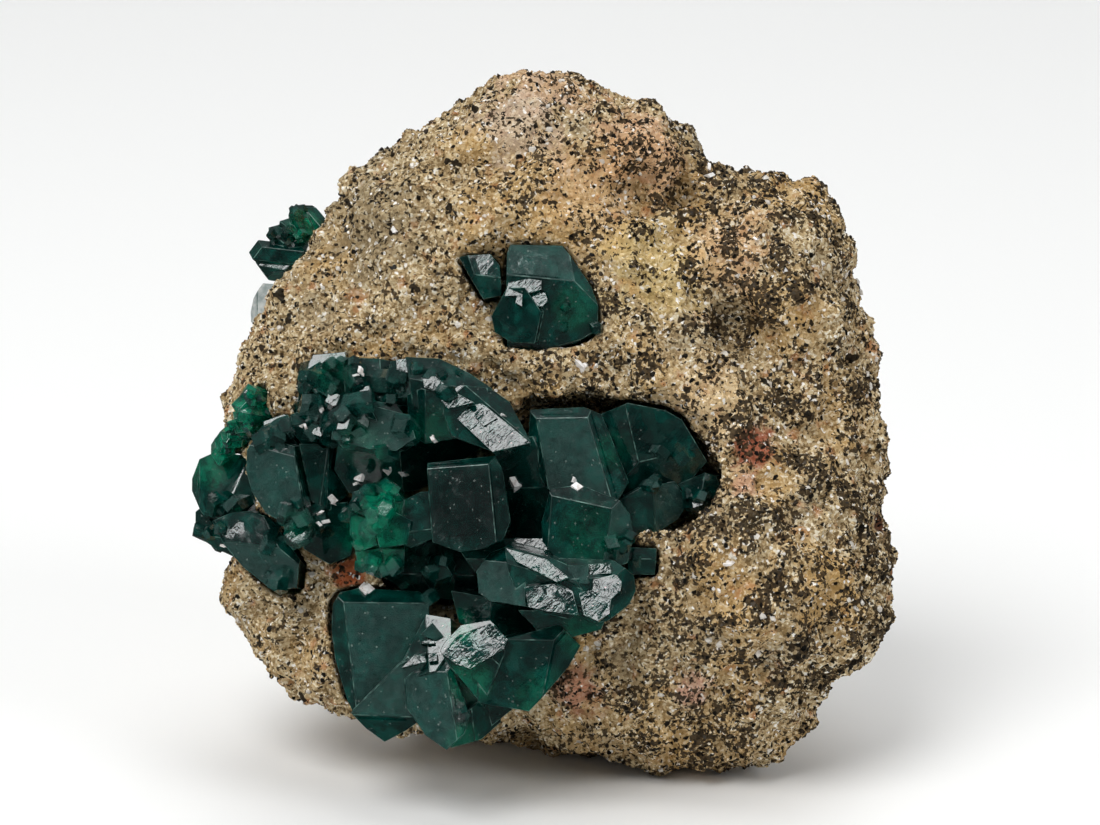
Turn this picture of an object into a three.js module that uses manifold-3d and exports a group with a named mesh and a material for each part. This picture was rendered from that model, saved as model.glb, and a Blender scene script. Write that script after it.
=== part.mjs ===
// A dioptase specimen: clusters of deep green crystals grown on a rough block of tan
// sandstone. Millimetres, +Z up, origin at the middle of the footprint.
//
// The block's good face leans back, so everything is drawn in the face's own frame:
// u to the right, v up the face and w straight out of it. The outlines are those seen
// from EYE in front of the face, so they narrow a little as they come forward.

import * as THREE from 'three';
import { ConvexGeometry } from 'three/addons/geometries/ConvexGeometry.js';
import { mergeVertices } from 'three/addons/utils/BufferGeometryUtils.js';
import Module from 'manifold-3d';

const wasm = await Module();
wasm.setup();

// Driving dimensions
const LEAN = 15; // degrees that the face leans back from upright
const EYE = 360; // distance from which the outlines are drawn
const FLOOR = -28.9; // height of the flat cut that the block rests on
const FRONT_SWELL = 12; // how far the block's face swells forward of its rim
const BACK_SWELL = 23; // how far its back swells the other way
const BLOCK_DETAIL = 8; // subdivisions of each side of the starting icosahedron
const FACE_DETAIL = 0.25; // how far that net is drawn towards the face, for finer facets there
const SOCKET_GAP = 0.3; // space left between a crystal and what it sits in
const TAPER = 3; // degrees that a crystal's flanks draw in towards its root
const SWAY = 0.5; // share of its main face's turn that a crystal's flanks follow

// Closer than these, planes count as parallel, points as inside and corners as the same
const PARALLEL = 1e-6;
const ON_PLANE = 1e-4;
const SAME_CORNER = 5e-3;
const SAME_VERTEX = 1e-4;

const leanTurn = new THREE.Matrix4().makeRotationX(THREE.MathUtils.degToRad(90 - LEAN));

// Solids as half-spaces: each plane is a unit normal and its distance from the origin

function plane(normal, through) {
  const unit = normal.clone().normalize();
  return { normal: unit, distance: unit.dot(through) };
}

function meetingPoint(a, b, c) {
  const bc = new THREE.Vector3().crossVectors(b.normal, c.normal);
  const determinant = a.normal.dot(bc);
  if (Math.abs(determinant) < PARALLEL) {
    return null;
  }
  const ca = new THREE.Vector3().crossVectors(c.normal, a.normal);
  const ab = new THREE.Vector3().crossVectors(a.normal, b.normal);
  return bc.multiplyScalar(a.distance)
    .addScaledVector(ca, b.distance)
    .addScaledVector(ab, c.distance)
    .divideScalar(determinant);
}

function cornersOf(planes) {
  const corners = [];
  for (let i = 0; i < planes.length; i += 1) {
    for (let j = i + 1; j < planes.length; j += 1) {
      for (let k = j + 1; k < planes.length; k += 1) {
        const point = meetingPoint(planes[i], planes[j], planes[k]);
        const inside = point && planes.every((p) => p.normal.dot(point) < p.distance + ON_PLANE);
        if (inside && corners.every((corner) => corner.distanceTo(point) > SAME_CORNER)) {
          corners.push(point);
        }
      }
    }
  }
  return corners;
}

function solidBetween(planes) {
  return manifoldOf(new ConvexGeometry(cornersOf(planes)));
}

function manifoldOf(geometry) {
  geometry.deleteAttribute('normal');
  geometry.deleteAttribute('uv');
  const merged = mergeVertices(geometry, SAME_VERTEX);
  return new wasm.Manifold(new wasm.Mesh({
    numProp: 3,
    vertProperties: new Float32Array(merged.attributes.position.array),
    triVerts: new Uint32Array(merged.index.array),
  }));
}

function grown(planes, gap) {
  return planes.map(({ normal, distance }) => ({ normal, distance: distance + gap }));
}

function joined(crystals, gap = 0) {
  const solids = crystals.map((planes) => solidBetween(grown(planes, gap)));
  return solids.reduce((all, solid) => all.add(solid));
}

// A crystal seen from the front. `outline` is its silhouette, `front` the height of its
// main face at the middle, `look` how far that face turns right and up in degrees and
// `depth` its thickness. Each fold is a line on the main face, from one point to
// another: what lies to the right of it drops away by the given degrees.
function crystal({ outline, front, look = [0, 0], depth, folds = [] }) {
  const narrowed = 1 - front / EYE;
  const eye = new THREE.Vector3(0, 0, EYE);
  const ring = outline.map(([u, v]) => new THREE.Vector3(u * narrowed, v * narrowed, front));
  const middle = new THREE.Vector3();
  ring.forEach((point) => middle.addScaledVector(point, 1 / ring.length));
  const right = THREE.MathUtils.degToRad(look[0]);
  const up = THREE.MathUtils.degToRad(look[1]);
  const facing = new THREE.Vector3(Math.tan(right), Math.tan(up), 1).normalize();
  const planes = [
    plane(facing, middle),
    plane(facing.clone().negate(), middle.clone().addScaledVector(facing, -depth)),
  ];
  ring.forEach((point, index) => {
    const next = ring[(index + 1) % ring.length];
    const flank = eye.clone().sub(point).normalize().lerp(facing, SWAY);
    const outwards = new THREE.Vector3().crossVectors(next.clone().sub(point), flank).normalize();
    if (outwards.dot(point.clone().sub(middle)) < 0) {
      outwards.negate();
    }
    outwards.z -= Math.tan(THREE.MathUtils.degToRad(TAPER));
    planes.push(plane(outwards, point));
  });
  const onFace = ([u, v]) => {
    const ray = new THREE.Vector3(u, v, -EYE).normalize();
    const reach = middle.clone().sub(eye).dot(facing) / ray.dot(facing);
    return eye.clone().addScaledVector(ray, reach);
  };
  folds.forEach(([from, to, drop]) => {
    const start = onFace(from);
    const line = onFace(to).sub(start).normalize();
    const normal = facing.clone().applyAxisAngle(line, THREE.MathUtils.degToRad(drop));
    planes.push(plane(normal, start));
  });
  return planes;
}

// A small whole crystal in dioptase's own habit: a six-sided prism closed at both ends
// by a rhombohedron. `axis` runs along it, `turn` spins it about that axis.
const RHOMB_SLOPE = 51; // degrees between an end face's normal and the axis

function prism({ at, axis, turn, radius, length }) {
  const along = new THREE.Vector3(...axis).normalize();
  const upright = new THREE.Quaternion().setFromUnitVectors(new THREE.Vector3(0, 0, 1), along);
  const centre = new THREE.Vector3(...at);
  const planes = [];
  const slope = THREE.MathUtils.degToRad(RHOMB_SLOPE);
  const addFace = (around, tip, distance) => {
    const heading = THREE.MathUtils.degToRad(around + turn);
    const normal = new THREE.Vector3(Math.cos(heading), Math.sin(heading), 0);
    normal.multiplyScalar(Math.cos(tip)).setZ(Math.sin(tip)).applyQuaternion(upright);
    planes.push(plane(normal, centre.clone().addScaledVector(normal, distance)));
  };
  for (let side = 0; side < 6; side += 1) {
    addFace(30 + 60 * side, 0, radius);
  }
  for (let side = 0; side < 3; side += 1) {
    const end = (length / 2) * Math.cos(slope);
    addFace(120 * side, Math.PI / 2 - slope, end);
    addFace(60 + 120 * side, slope - Math.PI / 2, end);
  }
  return planes;
}

// Seeded smooth noise, the same at every run

function hash(x, y, z) {
  const mixed = Math.sin(x * 127.1 + y * 311.7 + z * 74.7) * 43758.5453;
  return mixed - Math.floor(mixed);
}

function noise(point, scale) {
  const place = point.clone().divideScalar(scale);
  const base = place.clone().floor();
  const part = place.clone().sub(base);
  const ease = (t) => t * t * (3 - 2 * t);
  let total = 0;
  for (let corner = 0; corner < 8; corner += 1) {
    const [i, j, k] = [corner & 1, (corner >> 1) & 1, corner >> 2];
    const weight = (i ? ease(part.x) : 1 - ease(part.x))
      * (j ? ease(part.y) : 1 - ease(part.y))
      * (k ? ease(part.z) : 1 - ease(part.z));
    total += weight * hash(base.x + i, base.y + j, base.z + k);
  }
  return 2 * total - 1;
}

// The sandstone block

// Its outline, clockwise from the peak
const rim = [
  [-2.9, 28.9], [-0.4, 28.4], [2.1, 27.7], [4.2, 26.5], [8.3, 25.5], [10.8, 23.5],
  [13.5, 20.4], [14, 19], [16.5, 19.9], [20, 19.8], [21.8, 18.9], [24.2, 17.1],
  [25.6, 14.7], [25.9, 11.5], [25.8, 7.7], [26.8, 4.8], [27.5, 2.3], [27.2, -2.3],
  [27.6, -7.3], [28.6, -10.6], [29.6, -13.3], [29.4, -16.5], [28.6, -20.2],
  [26.5, -22.4], [24.3, -23.5], [22.1, -26.5], [19.8, -29.6], [17.9, -30.1],
  [11.7, -29.5], [5.4, -28.5], [0.4, -27.1], [-6.7, -26.4], [-16.4, -25.8],
  [-21.6, -24.4], [-23.1, -23], [-25, -20.6], [-26.6, -17.7], [-27.4, -15.4],
  [-26.4, -12.7], [-26.8, -9], [-27.3, -5.6], [-27.9, -2.3], [-27.8, 0.6],
  [-27.2, 3.5], [-25.8, 6.5], [-23.8, 9.5], [-19.8, 14.4], [-18.5, 16.7],
  [-16.5, 19.8], [-14.3, 22], [-12.1, 23.5], [-9.8, 24.7], [-7.9, 26.5], [-6, 27.4],
];
const rimCentre = [0, -1];
const USUAL_REACH = 28; // for a heading that runs exactly through a corner of the rim

// Lumps (rise over 0) and hollows (rise under 0) of the face, as ellipses with a soft
// edge: `turn` is the direction of the first reach in degrees
const relief = [
  { name: 'crystal bed', at: [-9.5, -8], reach: [14, 13.5], turn: -35, rise: -3, edge: 0.4 },
  { name: 'peak shoulder', at: [7, 22.6], reach: [7, 4], turn: -15, rise: 3.2, edge: 0.55 },
  { name: 'notch under it', at: [10, 17.4], reach: [6, 1.8], turn: -5, rise: -2.6, edge: 0.8 },
  { name: 'upper left swell', at: [-7, 17], reach: [9, 6], turn: 40, rise: 1.4, edge: 1 },
  { name: 'upper crystal pocket', at: [-1.8, 10], reach: [6.5, 5], turn: 0, rise: -2.2, edge: 0.7 },
  { name: 'right mass', at: [21, 11], reach: [6.5, 9], turn: 0, rise: 3, edge: 0.7 },
  { name: 'valley beside it', at: [14.5, 9.5], reach: [2.6, 8], turn: 12, rise: -1.6, edge: 1 },
  { name: 'lower right bulge', at: [17, -13], reach: [11.5, 13], turn: 0, rise: 4.5, edge: 0.8 },
  { name: 'lip over the vug', at: [12.5, 1.5], reach: [9, 3], turn: -35, rise: 1.6, edge: 0.9 },
  { name: 'set-back corner', at: [27.5, -17], reach: [3.6, 6], turn: 10, rise: -3.5, edge: 0.6 },
  { name: 'lower left shelf', at: [-21.5, -17], reach: [6, 6], turn: -30, rise: -2.4, edge: 0.8 },
  { name: 'foot', at: [6, -24.5], reach: [9, 4], turn: -5, rise: 1.8, edge: 0.9 },
];

function rimReach(heading) {
  const direction = [Math.cos(heading), Math.sin(heading)];
  for (let i = 0; i < rim.length; i += 1) {
    const [x1, y1] = [rim[i][0] - rimCentre[0], rim[i][1] - rimCentre[1]];
    const next = rim[(i + 1) % rim.length];
    const [x2, y2] = [next[0] - rimCentre[0], next[1] - rimCentre[1]];
    const side1 = direction[0] * y1 - direction[1] * x1;
    const side2 = direction[0] * y2 - direction[1] * x2;
    if (side1 >= 0 && side2 < 0 && x1 * direction[0] + y1 * direction[1] > 0) {
      const part = side1 / (side1 - side2);
      return Math.hypot(x1 + part * (x2 - x1), y1 + part * (y2 - y1));
    }
  }
  return USUAL_REACH;
}

function reliefAt(u, v) {
  let total = 0;
  for (const { at, reach, turn, rise, edge } of relief) {
    const angle = THREE.MathUtils.degToRad(turn);
    const [du, dv] = [u - at[0], v - at[1]];
    const along = (du * Math.cos(angle) + dv * Math.sin(angle)) / reach[0];
    const across = (dv * Math.cos(angle) - du * Math.sin(angle)) / reach[1];
    const closeness = 1 - Math.hypot(along, across);
    total += rise * THREE.MathUtils.smoothstep(closeness, 0, edge);
  }
  return total;
}

// Flat breaks round the back and sides, each a direction and its distance
const breaks = [
  { faces: [0.05, 0.12, -1], distance: 18.5 },
  { faces: [-0.8, 0.25, -0.7], distance: 21 },
  { faces: [0.72, 0.3, -0.7], distance: 23.5 },
  { faces: [0.1, 0.85, -0.6], distance: 26.5 },
  { faces: [-0.4, -0.5, -0.8], distance: 22.5 },
  { faces: [0.55, -0.45, -0.75], distance: 22.5 },
  { faces: [-0.62, 0.62, -0.25], distance: 27 },
];

// The fuller underside, behind the lower edge, that carries the block
const heel = { faces: new THREE.Vector3(0.12, -0.8, -0.6).normalize(), reach: 5 };
const HEEL_SPREAD = [0.72, 0.95]; // how closely a direction must face the heel's to share in it
const HEEL_SETBACK = [0.08, 0.35]; // how far behind the rim it starts, and is full

const BOXINESS = 2.5; // 2 would be an ellipsoid, more is boxier
const BREAK_CRISPNESS = 14; // how sharply the breaks meet each other
const FACE_START = [0.02, 0.3]; // how far in front of the rim the relief starts, and is full
const RIM_CALM = 0.35; // share of the roughness that is left at the rim
const roughness = [{ size: 8.5, height: 1.5 }, { size: 4.2, height: 1.2 }];

function blockReach(direction) {
  const heading = Math.atan2(direction.y, direction.x);
  const flat = Math.hypot(direction.x, direction.y);
  const swell = direction.z > 0 ? FRONT_SWELL : BACK_SWELL;
  const wide = (flat / rimReach(heading)) ** BOXINESS;
  const deep = (Math.abs(direction.z) / swell) ** BOXINESS;
  const rounded = (wide + deep) ** (-1 / BOXINESS);
  let crowding = rounded ** -BREAK_CRISPNESS;
  for (const { faces, distance } of breaks) {
    const towards = direction.dot(new THREE.Vector3(...faces).normalize());
    if (towards > 0) {
      crowding += (towards / distance) ** BREAK_CRISPNESS;
    }
  }
  const underneath = THREE.MathUtils.smoothstep(direction.dot(heel.faces), ...HEEL_SPREAD);
  const behind = THREE.MathUtils.smoothstep(-direction.z, ...HEEL_SETBACK);
  return crowding ** (-1 / BREAK_CRISPNESS) + heel.reach * underneath * behind;
}

function blockSolid() {
  const geometry = new THREE.IcosahedronGeometry(1, BLOCK_DETAIL);
  const positions = geometry.attributes.position;
  for (let i = 0; i < positions.count; i += 1) {
    const direction = new THREE.Vector3().fromBufferAttribute(positions, i);
    direction.z += FACE_DETAIL;
    direction.normalize();
    const point = direction.clone().multiplyScalar(blockReach(direction));
    const facing = THREE.MathUtils.smoothstep(direction.z, ...FACE_START);
    point.x += rimCentre[0];
    point.y += rimCentre[1];
    point.z += facing * reliefAt(point.x, point.y);
    const rough = roughness.reduce((sum, { size, height }) => sum + height * noise(point, size), 0);
    point.addScaledVector(direction, rough * (RIM_CALM + (1 - RIM_CALM) * Math.abs(direction.z)));
    positions.setXYZ(i, point.x, point.y, point.z);
  }
  return manifoldOf(geometry);
}

// A rough scoop that is cut out of the block
const SCOOP_DETAIL = 3;
const wobble = { size: 0.45, share: 0.16 };

function scoop({ at, reach, turn }) {
  const geometry = new THREE.IcosahedronGeometry(1, SCOOP_DETAIL);
  const positions = geometry.attributes.position;
  const reaches = new THREE.Vector3(...reach);
  for (let i = 0; i < positions.count; i += 1) {
    const direction = new THREE.Vector3().fromBufferAttribute(positions, i);
    const bump = 1 + wobble.share * noise(direction, wobble.size);
    const point = direction.multiply(reaches).multiplyScalar(bump);
    positions.setXYZ(i, point.x, point.y, point.z);
  }
  geometry.rotateZ(THREE.MathUtils.degToRad(turn));
  geometry.translate(...at);
  return manifoldOf(geometry);
}

const vug = [
  { at: [4.5, -3, 10.5], reach: [8.2, 4.6, 7.5], turn: -12 },
  { at: [9.2, -5.2, 10], reach: [5.6, 4.4, 6.5], turn: -35 },
];

// Everything under the floor is cut away, so that the block stands flat.
const CUT_WIDTH = 120;
const CUT_DEPTH = 40;

function underFloor() {
  const geometry = new THREE.BoxGeometry(CUT_WIDTH, CUT_WIDTH, CUT_DEPTH);
  geometry.translate(0, 0, FLOOR - CUT_DEPTH / 2);
  geometry.applyMatrix4(leanTurn.clone().invert());
  return manifoldOf(geometry);
}

// The crystals, cluster by cluster

const leftEdge = [
  crystal({
    front: 4.5, look: [-32, 4], depth: 5.5,
    outline: [[-30.8, -5.4], [-29.7, -3.8], [-28.2, -3.3], [-25.4, -3.6], [-23.6, -4.6],
      [-23.6, -8.6], [-26.5, -9], [-29.2, -8.5], [-30.8, -6.5]],
    folds: [[[-25.7, -5.3], [-26.9, -8.1], -30], [[-29.2, -4], [-29.2, -8.2], 30]],
  }),
  crystal({
    front: 3, look: [-35, -8], depth: 5,
    outline: [[-28.9, -7.7], [-29.9, -8.3], [-30, -9.7], [-29.4, -10.8], [-28.4, -11.5],
      [-26.4, -12.3], [-25.6, -11], [-25.8, -8.2]],
    folds: [[[-29.4, -10.2], [-26, -10.6], 40]],
  }),
  crystal({
    front: 9, look: [-14, 12], depth: 8,
    outline: [[-28.5, -8.9], [-26.8, -8.2], [-25, -8.1], [-23.3, -8.8], [-20.8, -12.3],
      [-21.1, -14.6], [-23.3, -14.8], [-25.8, -12.8], [-27.3, -11]],
    folds: [[[-27.4, -10.6], [-23.2, -11.2], 30], [[-23.9, -8.6], [-21.1, -14.4], -38],
      [[-28, -8.9], [-25.6, -13.1], 25]],
  }),
];

const leftCluster = [
  crystal({
    front: 12, look: [-22, -6], depth: 9,
    outline: [[-24.6, -1.9], [-21.2, -2.8], [-20, -8.9], [-22.4, -9.1], [-23.8, -8.4],
      [-25, -6.7], [-25.5, -5], [-25.4, -3.2]],
    folds: [[[-21.4, -3], [-20.4, -9], -48], [[-25, -2.7], [-21.2, -3.7], -40]],
  }),
  crystal({
    front: 10.5, look: [-10, 20], depth: 6,
    outline: [[-24, -0.6], [-22.2, 0], [-20.7, -0.9], [-20.5, -3.3], [-23.6, -3]],
    folds: [[[-24, -1.8], [-20.6, -2.2], 45]],
  }),
  crystal({
    front: 10.8, look: [12, -8], depth: 7,
    outline: [[-20.9, -2.6], [-18, -2.6], [-16.6, -4.8], [-16.8, -7.2], [-18.3, -8.2], [-19.9, -7.4]],
    folds: [[[-18.4, -2.4], [-18.6, -8.4], -34]],
  }),
  crystal({
    front: 10.2, look: [-4, -12], depth: 7,
    outline: [[-20.2, -7.8], [-16.9, -7.5], [-16.2, -9.8], [-16.6, -12.2], [-18.4, -12.8],
      [-20.6, -11.4]],
    folds: [[[-19.2, -7.6], [-18.8, -12.8], -30]],
  }),
];

const upperCluster = [
  crystal({
    front: 12, look: [-12, 8], depth: 8,
    outline: [[-21.7, -0.1], [-18.2, 1], [-17.8, -2.4], [-20.6, -3], [-21.6, -1.6]],
    folds: [[[-21.6, -1], [-17.8, -0.6], 38]],
  }),
  crystal({
    front: 11.6, look: [0, -24], depth: 8,
    outline: [[-17.6, -2.4], [-8, -2], [-5, -3.2], [-8.6, -5.6], [-11, -6.9], [-16.8, -7],
      [-18, -4.8]],
    folds: [[[-12.6, -2.2], [-12.2, -7], -26]],
  }),
  crystal({
    front: 13, look: [-16, 18], depth: 8,
    outline: [[-21, 2.9], [-19.9, 5], [-17.1, 5.1], [-16.7, 0.4], [-21.8, -0.1]],
    folds: [[[-20.2, 3.4], [-16.9, 3.6], 42], [[-19.9, 5], [-21, 0], 30]],
  }),
  crystal({
    front: 13.6, look: [6, 24], depth: 8,
    outline: [[-17.3, 4.8], [-13, 4.7], [-12.6, 1], [-17, 0.4]],
    folds: [[[-17.2, 3.2], [-12.8, 3], 40], [[-14.2, 4.8], [-14, 0.6], -28]],
  }),
  crystal({
    front: 14.2, look: [14, 16], depth: 8,
    outline: [[-13.3, 4.3], [-11.5, 4.7], [-10.4, 3], [-10.6, 0.6], [-13, 0.6]],
    folds: [[[-13.3, 2.8], [-10.5, 2.4], 38]],
  }),
  crystal({
    front: 15.2, look: [-14, 10], depth: 9,
    outline: [[-18.4, -0.4], [-17.5, 0.6], [-15.7, 1.1], [-12.9, 0.9], [-11.7, -1], [-11.2, -2.2],
      [-12.5, -3.1], [-15, -3.4], [-17.5, -2.9], [-18.3, -2]],
    folds: [[[-15.3, 1.1], [-13.9, -3.3], -34], [[-18.4, -1.8], [-12.4, -2.3], 45]],
  }),
  crystal({
    front: 15.4, look: [4, 30], depth: 9,
    outline: [[-12.1, 5], [-9.2, 4.9], [-6.7, 3.5], [-4.8, 2], [-6.3, 0.6], [-9.2, 0.1],
      [-11.4, 0.6], [-11.8, 3]],
    folds: [[[-12, 2.9], [-5.2, 1.7], 42]],
  }),
  crystal({
    front: 16.4, look: [8, 4], depth: 10,
    outline: [[-9, 1.4], [-7.5, 2.3], [-4.8, 2.1], [-3.2, 1], [-1.5, -2.5], [-4.4, -3.4],
      [-8.2, -2], [-8.8, -0.3]],
    folds: [[[-7.2, 2.4], [-1.6, -2.4], -36], [[-8.9, 0.7], [-7.2, 2.2], -30]],
  }),
  crystal({
    front: 15.2, look: [-4, -14], depth: 9,
    outline: [[-12, 1.4], [-10.7, 2], [-8.3, 1.6], [-7.8, -2.2], [-10.4, -2.7], [-11.9, -2]],
    folds: [[[-10.4, 2], [-10.4, -2.7], 32]],
  }),
];

const centreCluster = [
  crystal({
    front: 17, look: [-6, 6], depth: 10,
    outline: [[-10.4, -4.1], [-4.6, -3.5], [-4, -4.6], [-3.3, -9], [-3.9, -10.6], [-5.8, -11.4],
      [-7.5, -11.6], [-9.8, -10.8]],
    folds: [[[-5.2, -3.6], [-4.5, -10.8], -42], [[-10.3, -4.7], [-5, -4.3], -38]],
  }),
  crystal({
    front: 16.4, look: [-10, 4], depth: 9,
    outline: [[-12.3, -7.3], [-10.8, -6.6], [-9.2, -6.5], [-8.7, -9.4], [-10, -10.6], [-11.7, -11.3],
      [-12.6, -11]],
    folds: [[[-12.3, -10], [-9, -9.6], 35]],
  }),
  crystal({
    front: 15.6, look: [-14, -4], depth: 9,
    outline: [[-16.7, -6.9], [-14.6, -6.2], [-12.9, -6.4], [-12.1, -7.3], [-12.2, -11],
      [-13.8, -11.4], [-16, -10.7], [-16.7, -9.4], [-16.9, -7.7]],
    folds: [[[-16.8, -7.6], [-12.2, -7.4], -34], [[-14.8, -6.3], [-15.4, -10.9], 24]],
  }),
  crystal({
    front: 14.4, look: [-8, -12], depth: 8,
    outline: [[-16.2, -10.4], [-13.6, -10.9], [-13.8, -12.3], [-14.6, -13.3], [-15.7, -12.7],
      [-16.4, -11.9]],
    folds: [[[-15, -10], [-15.2, -13.2], 30]],
  }),
  crystal({
    front: 11, look: [2, 14], depth: 8,
    outline: [[-13.4, -10.8], [-10, -10.6], [-6.6, -11.6], [-6, -14.6], [-8.3, -15.6],
      [-11.8, -15], [-14, -13.6]],
    folds: [[[-13.8, -13.4], [-6.2, -13.6], 34]],
  }),
  prism({ at: [-8.9, -12.8, 11.6], axis: [0.15, 0.4, 1], turn: 12, radius: 1.1, length: 5 }),
];

const vugCluster = [
  crystal({
    front: 12, look: [-16, -6], depth: 8,
    outline: [[-4.6, -2.6], [-1.4, -2], [0.4, -5.6], [0.6, -9.8], [-1, -11.8], [-3.4, -11.6],
      [-4.8, -6]],
    folds: [[[-4.2, -6.4], [-0.3, -6.2], 26]],
  }),
  crystal({
    front: 13.2, look: [-4, 2], depth: 9,
    outline: [[-1.7, 0.3], [2.8, 0.5], [4.3, -0.1], [5.7, -3.5], [6.6, -5.8], [5.6, -7.4],
      [0.8, -7], [-0.4, -6.2], [-2, -3.1]],
    folds: [[[2.9, 0.4], [4.7, -5.8], -40], [[-1.3, 0.3], [-0.2, -6], 42],
      [[-1.8, -0.5], [3.6, -0.4], -30]],
  }),
  crystal({
    front: 12.2, look: [-6, -8], depth: 9,
    outline: [[4, -0.2], [6.5, 0.8], [9.6, 0.2], [11, -0.6], [13.1, -4.1], [11.4, -6.2],
      [7.9, -8], [6, -7.4], [4.6, -3.5]],
    folds: [[[5.4, -4.6], [12.6, -2.9], 28], [[6.2, 0.9], [8.1, -7.2], 20]],
  }),
  crystal({
    front: 11.4, look: [4, -12], depth: 8,
    outline: [[5.8, -7.2], [7.6, -6.2], [10.4, -5.8], [11.8, -7.6], [10.8, -9.1], [8.8, -10.2],
      [6.4, -10.2]],
    folds: [[[8.6, -6.4], [8.8, -10.3], -26]],
  }),
  crystal({
    front: 11.2, look: [-14, -6], depth: 8,
    outline: [[10.6, -6], [12.9, -5], [13.8, -5.3], [14.3, -6.5], [14, -7.8], [12.5, -8.4],
      [11.5, -7.4]],
    folds: [[[12.9, -5], [12.4, -8.4], -32]],
  }),
  crystal({
    front: 15.8, look: [-5, 0], depth: 11,
    outline: [[0, -6.3], [2.5, -6], [5.8, -7.3], [6.7, -8.5], [7, -10.2], [6.5, -12.6],
      [5, -13.2], [1.1, -12.9], [-0.7, -10.8], [-0.8, -9.2]],
    folds: [[[5.3, -7], [4.4, -12.9], -40], [[0, -6.9], [5.6, -8.1], -30],
      [[0.2, -6.2], [-0.2, -11.4], 34]],
  }),
  crystal({
    front: 13, look: [0, 10], depth: 8,
    outline: [[6.6, -11.2], [8.9, -11.3], [8.8, -13.5], [6.4, -13.5]],
    folds: [[[6.5, -12.2], [8.9, -12.2], 40]],
  }),
];

const lowerCluster = [
  crystal({
    front: 13.2, look: [-4, 18], depth: 8,
    outline: [[-7.6, -11.4], [-3.8, -10.4], [-0.4, -10.4], [1.4, -12.4], [-2, -13.4], [-6.2, -13.4]],
    folds: [[[-7, -12.2], [1, -12.2], 30]],
  }),
  crystal({
    front: 13.6, look: [-2, -16], depth: 9,
    outline: [[-8.2, -14.8], [-5, -15.4], [-1.4, -16.2], [0.6, -17.6], [-3.4, -19.2], [-7.6, -17.6]],
    folds: [[[-4.8, -15], [-5.2, -19.4], -24]],
  }),
  crystal({
    front: 17, look: [-24, 12], depth: 9,
    outline: [[-6.4, -13.1], [-5.3, -11.5], [-3.9, -11], [-2.6, -11.8], [-1.9, -14], [-1.8, -16.2],
      [-5, -15.7], [-6.1, -15]],
    folds: [[[-5.9, -12.3], [-2.3, -12.6], -30]],
  }),
  crystal({
    front: 18, look: [-4, -16], depth: 10,
    outline: [[-3.8, -11.2], [0, -12.1], [1.4, -12.7], [2.7, -14.8], [2.5, -16.6], [1.7, -17.4],
      [0, -17], [-2.2, -16.2], [-3.4, -13.5]],
    folds: [[[-3.4, -12.6], [2.2, -14.2], -44]],
  }),
  crystal({
    front: 18, look: [6, 4], depth: 10,
    outline: [[0.8, -12], [5.4, -12.2], [7.2, -13.5], [7.4, -14.8], [6.8, -16], [4.8, -17.4],
      [3.6, -17.6], [1.6, -16.4], [0.6, -14.4]],
    folds: [[[1.6, -13.9], [6.4, -13.6], -44], [[5.6, -12.6], [4.8, -17.5], -40],
      [[1.8, -16], [5.6, -16.8], 36]],
  }),
  crystal({
    front: 15.6, look: [4, -34], depth: 9,
    outline: [[-2.6, -16.2], [1.4, -16.2], [4.8, -16.8], [4.3, -18.3], [0.8, -19.4],
      [-0.8, -18.6]],
  }),
  crystal({
    front: 14, look: [8, -2], depth: 10,
    outline: [[-18.1, -16], [-17.5, -15], [-15.8, -14.6], [-10.8, -14.9], [-10, -15.6],
      [-10, -17.3], [-12.5, -21.4], [-15, -24], [-16.3, -25.2], [-16.9, -24], [-17.9, -20.6],
      [-18.2, -18.1]],
    folds: [[[-17.3, -15], [-16.1, -25], 44], [[-17.8, -15.8], [-10, -15.9], -42]],
  }),
  crystal({
    front: 14.6, look: [2, -10], depth: 10,
    outline: [[-16.6, -25], [-12.5, -20.9], [-10.4, -20], [-10.4, -25.4], [-11.9, -26.7],
      [-13.8, -27.9], [-15.4, -26.5]],
    folds: [[[-16, -25.2], [-11, -25.4], 34]],
  }),
  crystal({
    front: 15.4, look: [-8, 2], depth: 10,
    outline: [[-12.3, -20.6], [-10.2, -18.8], [-8.3, -21], [-6.7, -25.2], [-7.2, -26.8],
      [-8.6, -28.1], [-10.4, -26.9], [-12, -24.6]],
    folds: [[[-12.3, -21.6], [-8.2, -21.6], -30], [[-8.9, -19.6], [-7.7, -27.6], -30]],
  }),
  crystal({
    front: 13.8, look: [14, -8], depth: 9,
    outline: [[-8.2, -25.9], [-5.8, -24], [-3.8, -24.2], [-3.8, -26], [-5.6, -27.3],
      [-8.3, -27.9]],
    folds: [[[-6.6, -24], [-6.2, -28], -24]],
  }),
  crystal({
    front: 14.9, look: [-26, 18], depth: 9,
    outline: [[-12.9, -21.4], [-10.6, -16.6], [-8.4, -17], [-8.2, -19.6], [-9.4, -21.6], [-10.8, -22]],
    folds: [[[-10.4, -16.4], [-10, -22], -20]],
  }),
  crystal({
    front: 13.4, look: [4, -16], depth: 9,
    outline: [[-9.6, -20.4], [-5, -22], [-2.8, -24.6], [-5, -26.4], [-8, -26.6]],
  }),
  crystal({
    front: 16.6, look: [-6, 22], depth: 10,
    outline: [[-9.2, -19.8], [-8.8, -19], [-7.5, -17.5], [-5, -17.1], [-3.5, -18.8],
      [-3.8, -20], [-5.6, -24.4], [-8.5, -21]],
    folds: [[[-9, -20.2], [-3.6, -20.6], 40], [[-4.6, -17.2], [-5, -24], -30]],
  }),
  crystal({
    front: 16, look: [6, -8], depth: 10,
    outline: [[-4, -18.9], [0.8, -17.7], [2.8, -19.6], [1.7, -21.4], [-1.7, -25], [-6, -24.2],
      [-6, -21.2]],
    folds: [[[0.6, -17.6], [-0.9, -25], -34], [[-5, -18.9], [2.4, -19], -30]],
  }),
];

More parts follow.
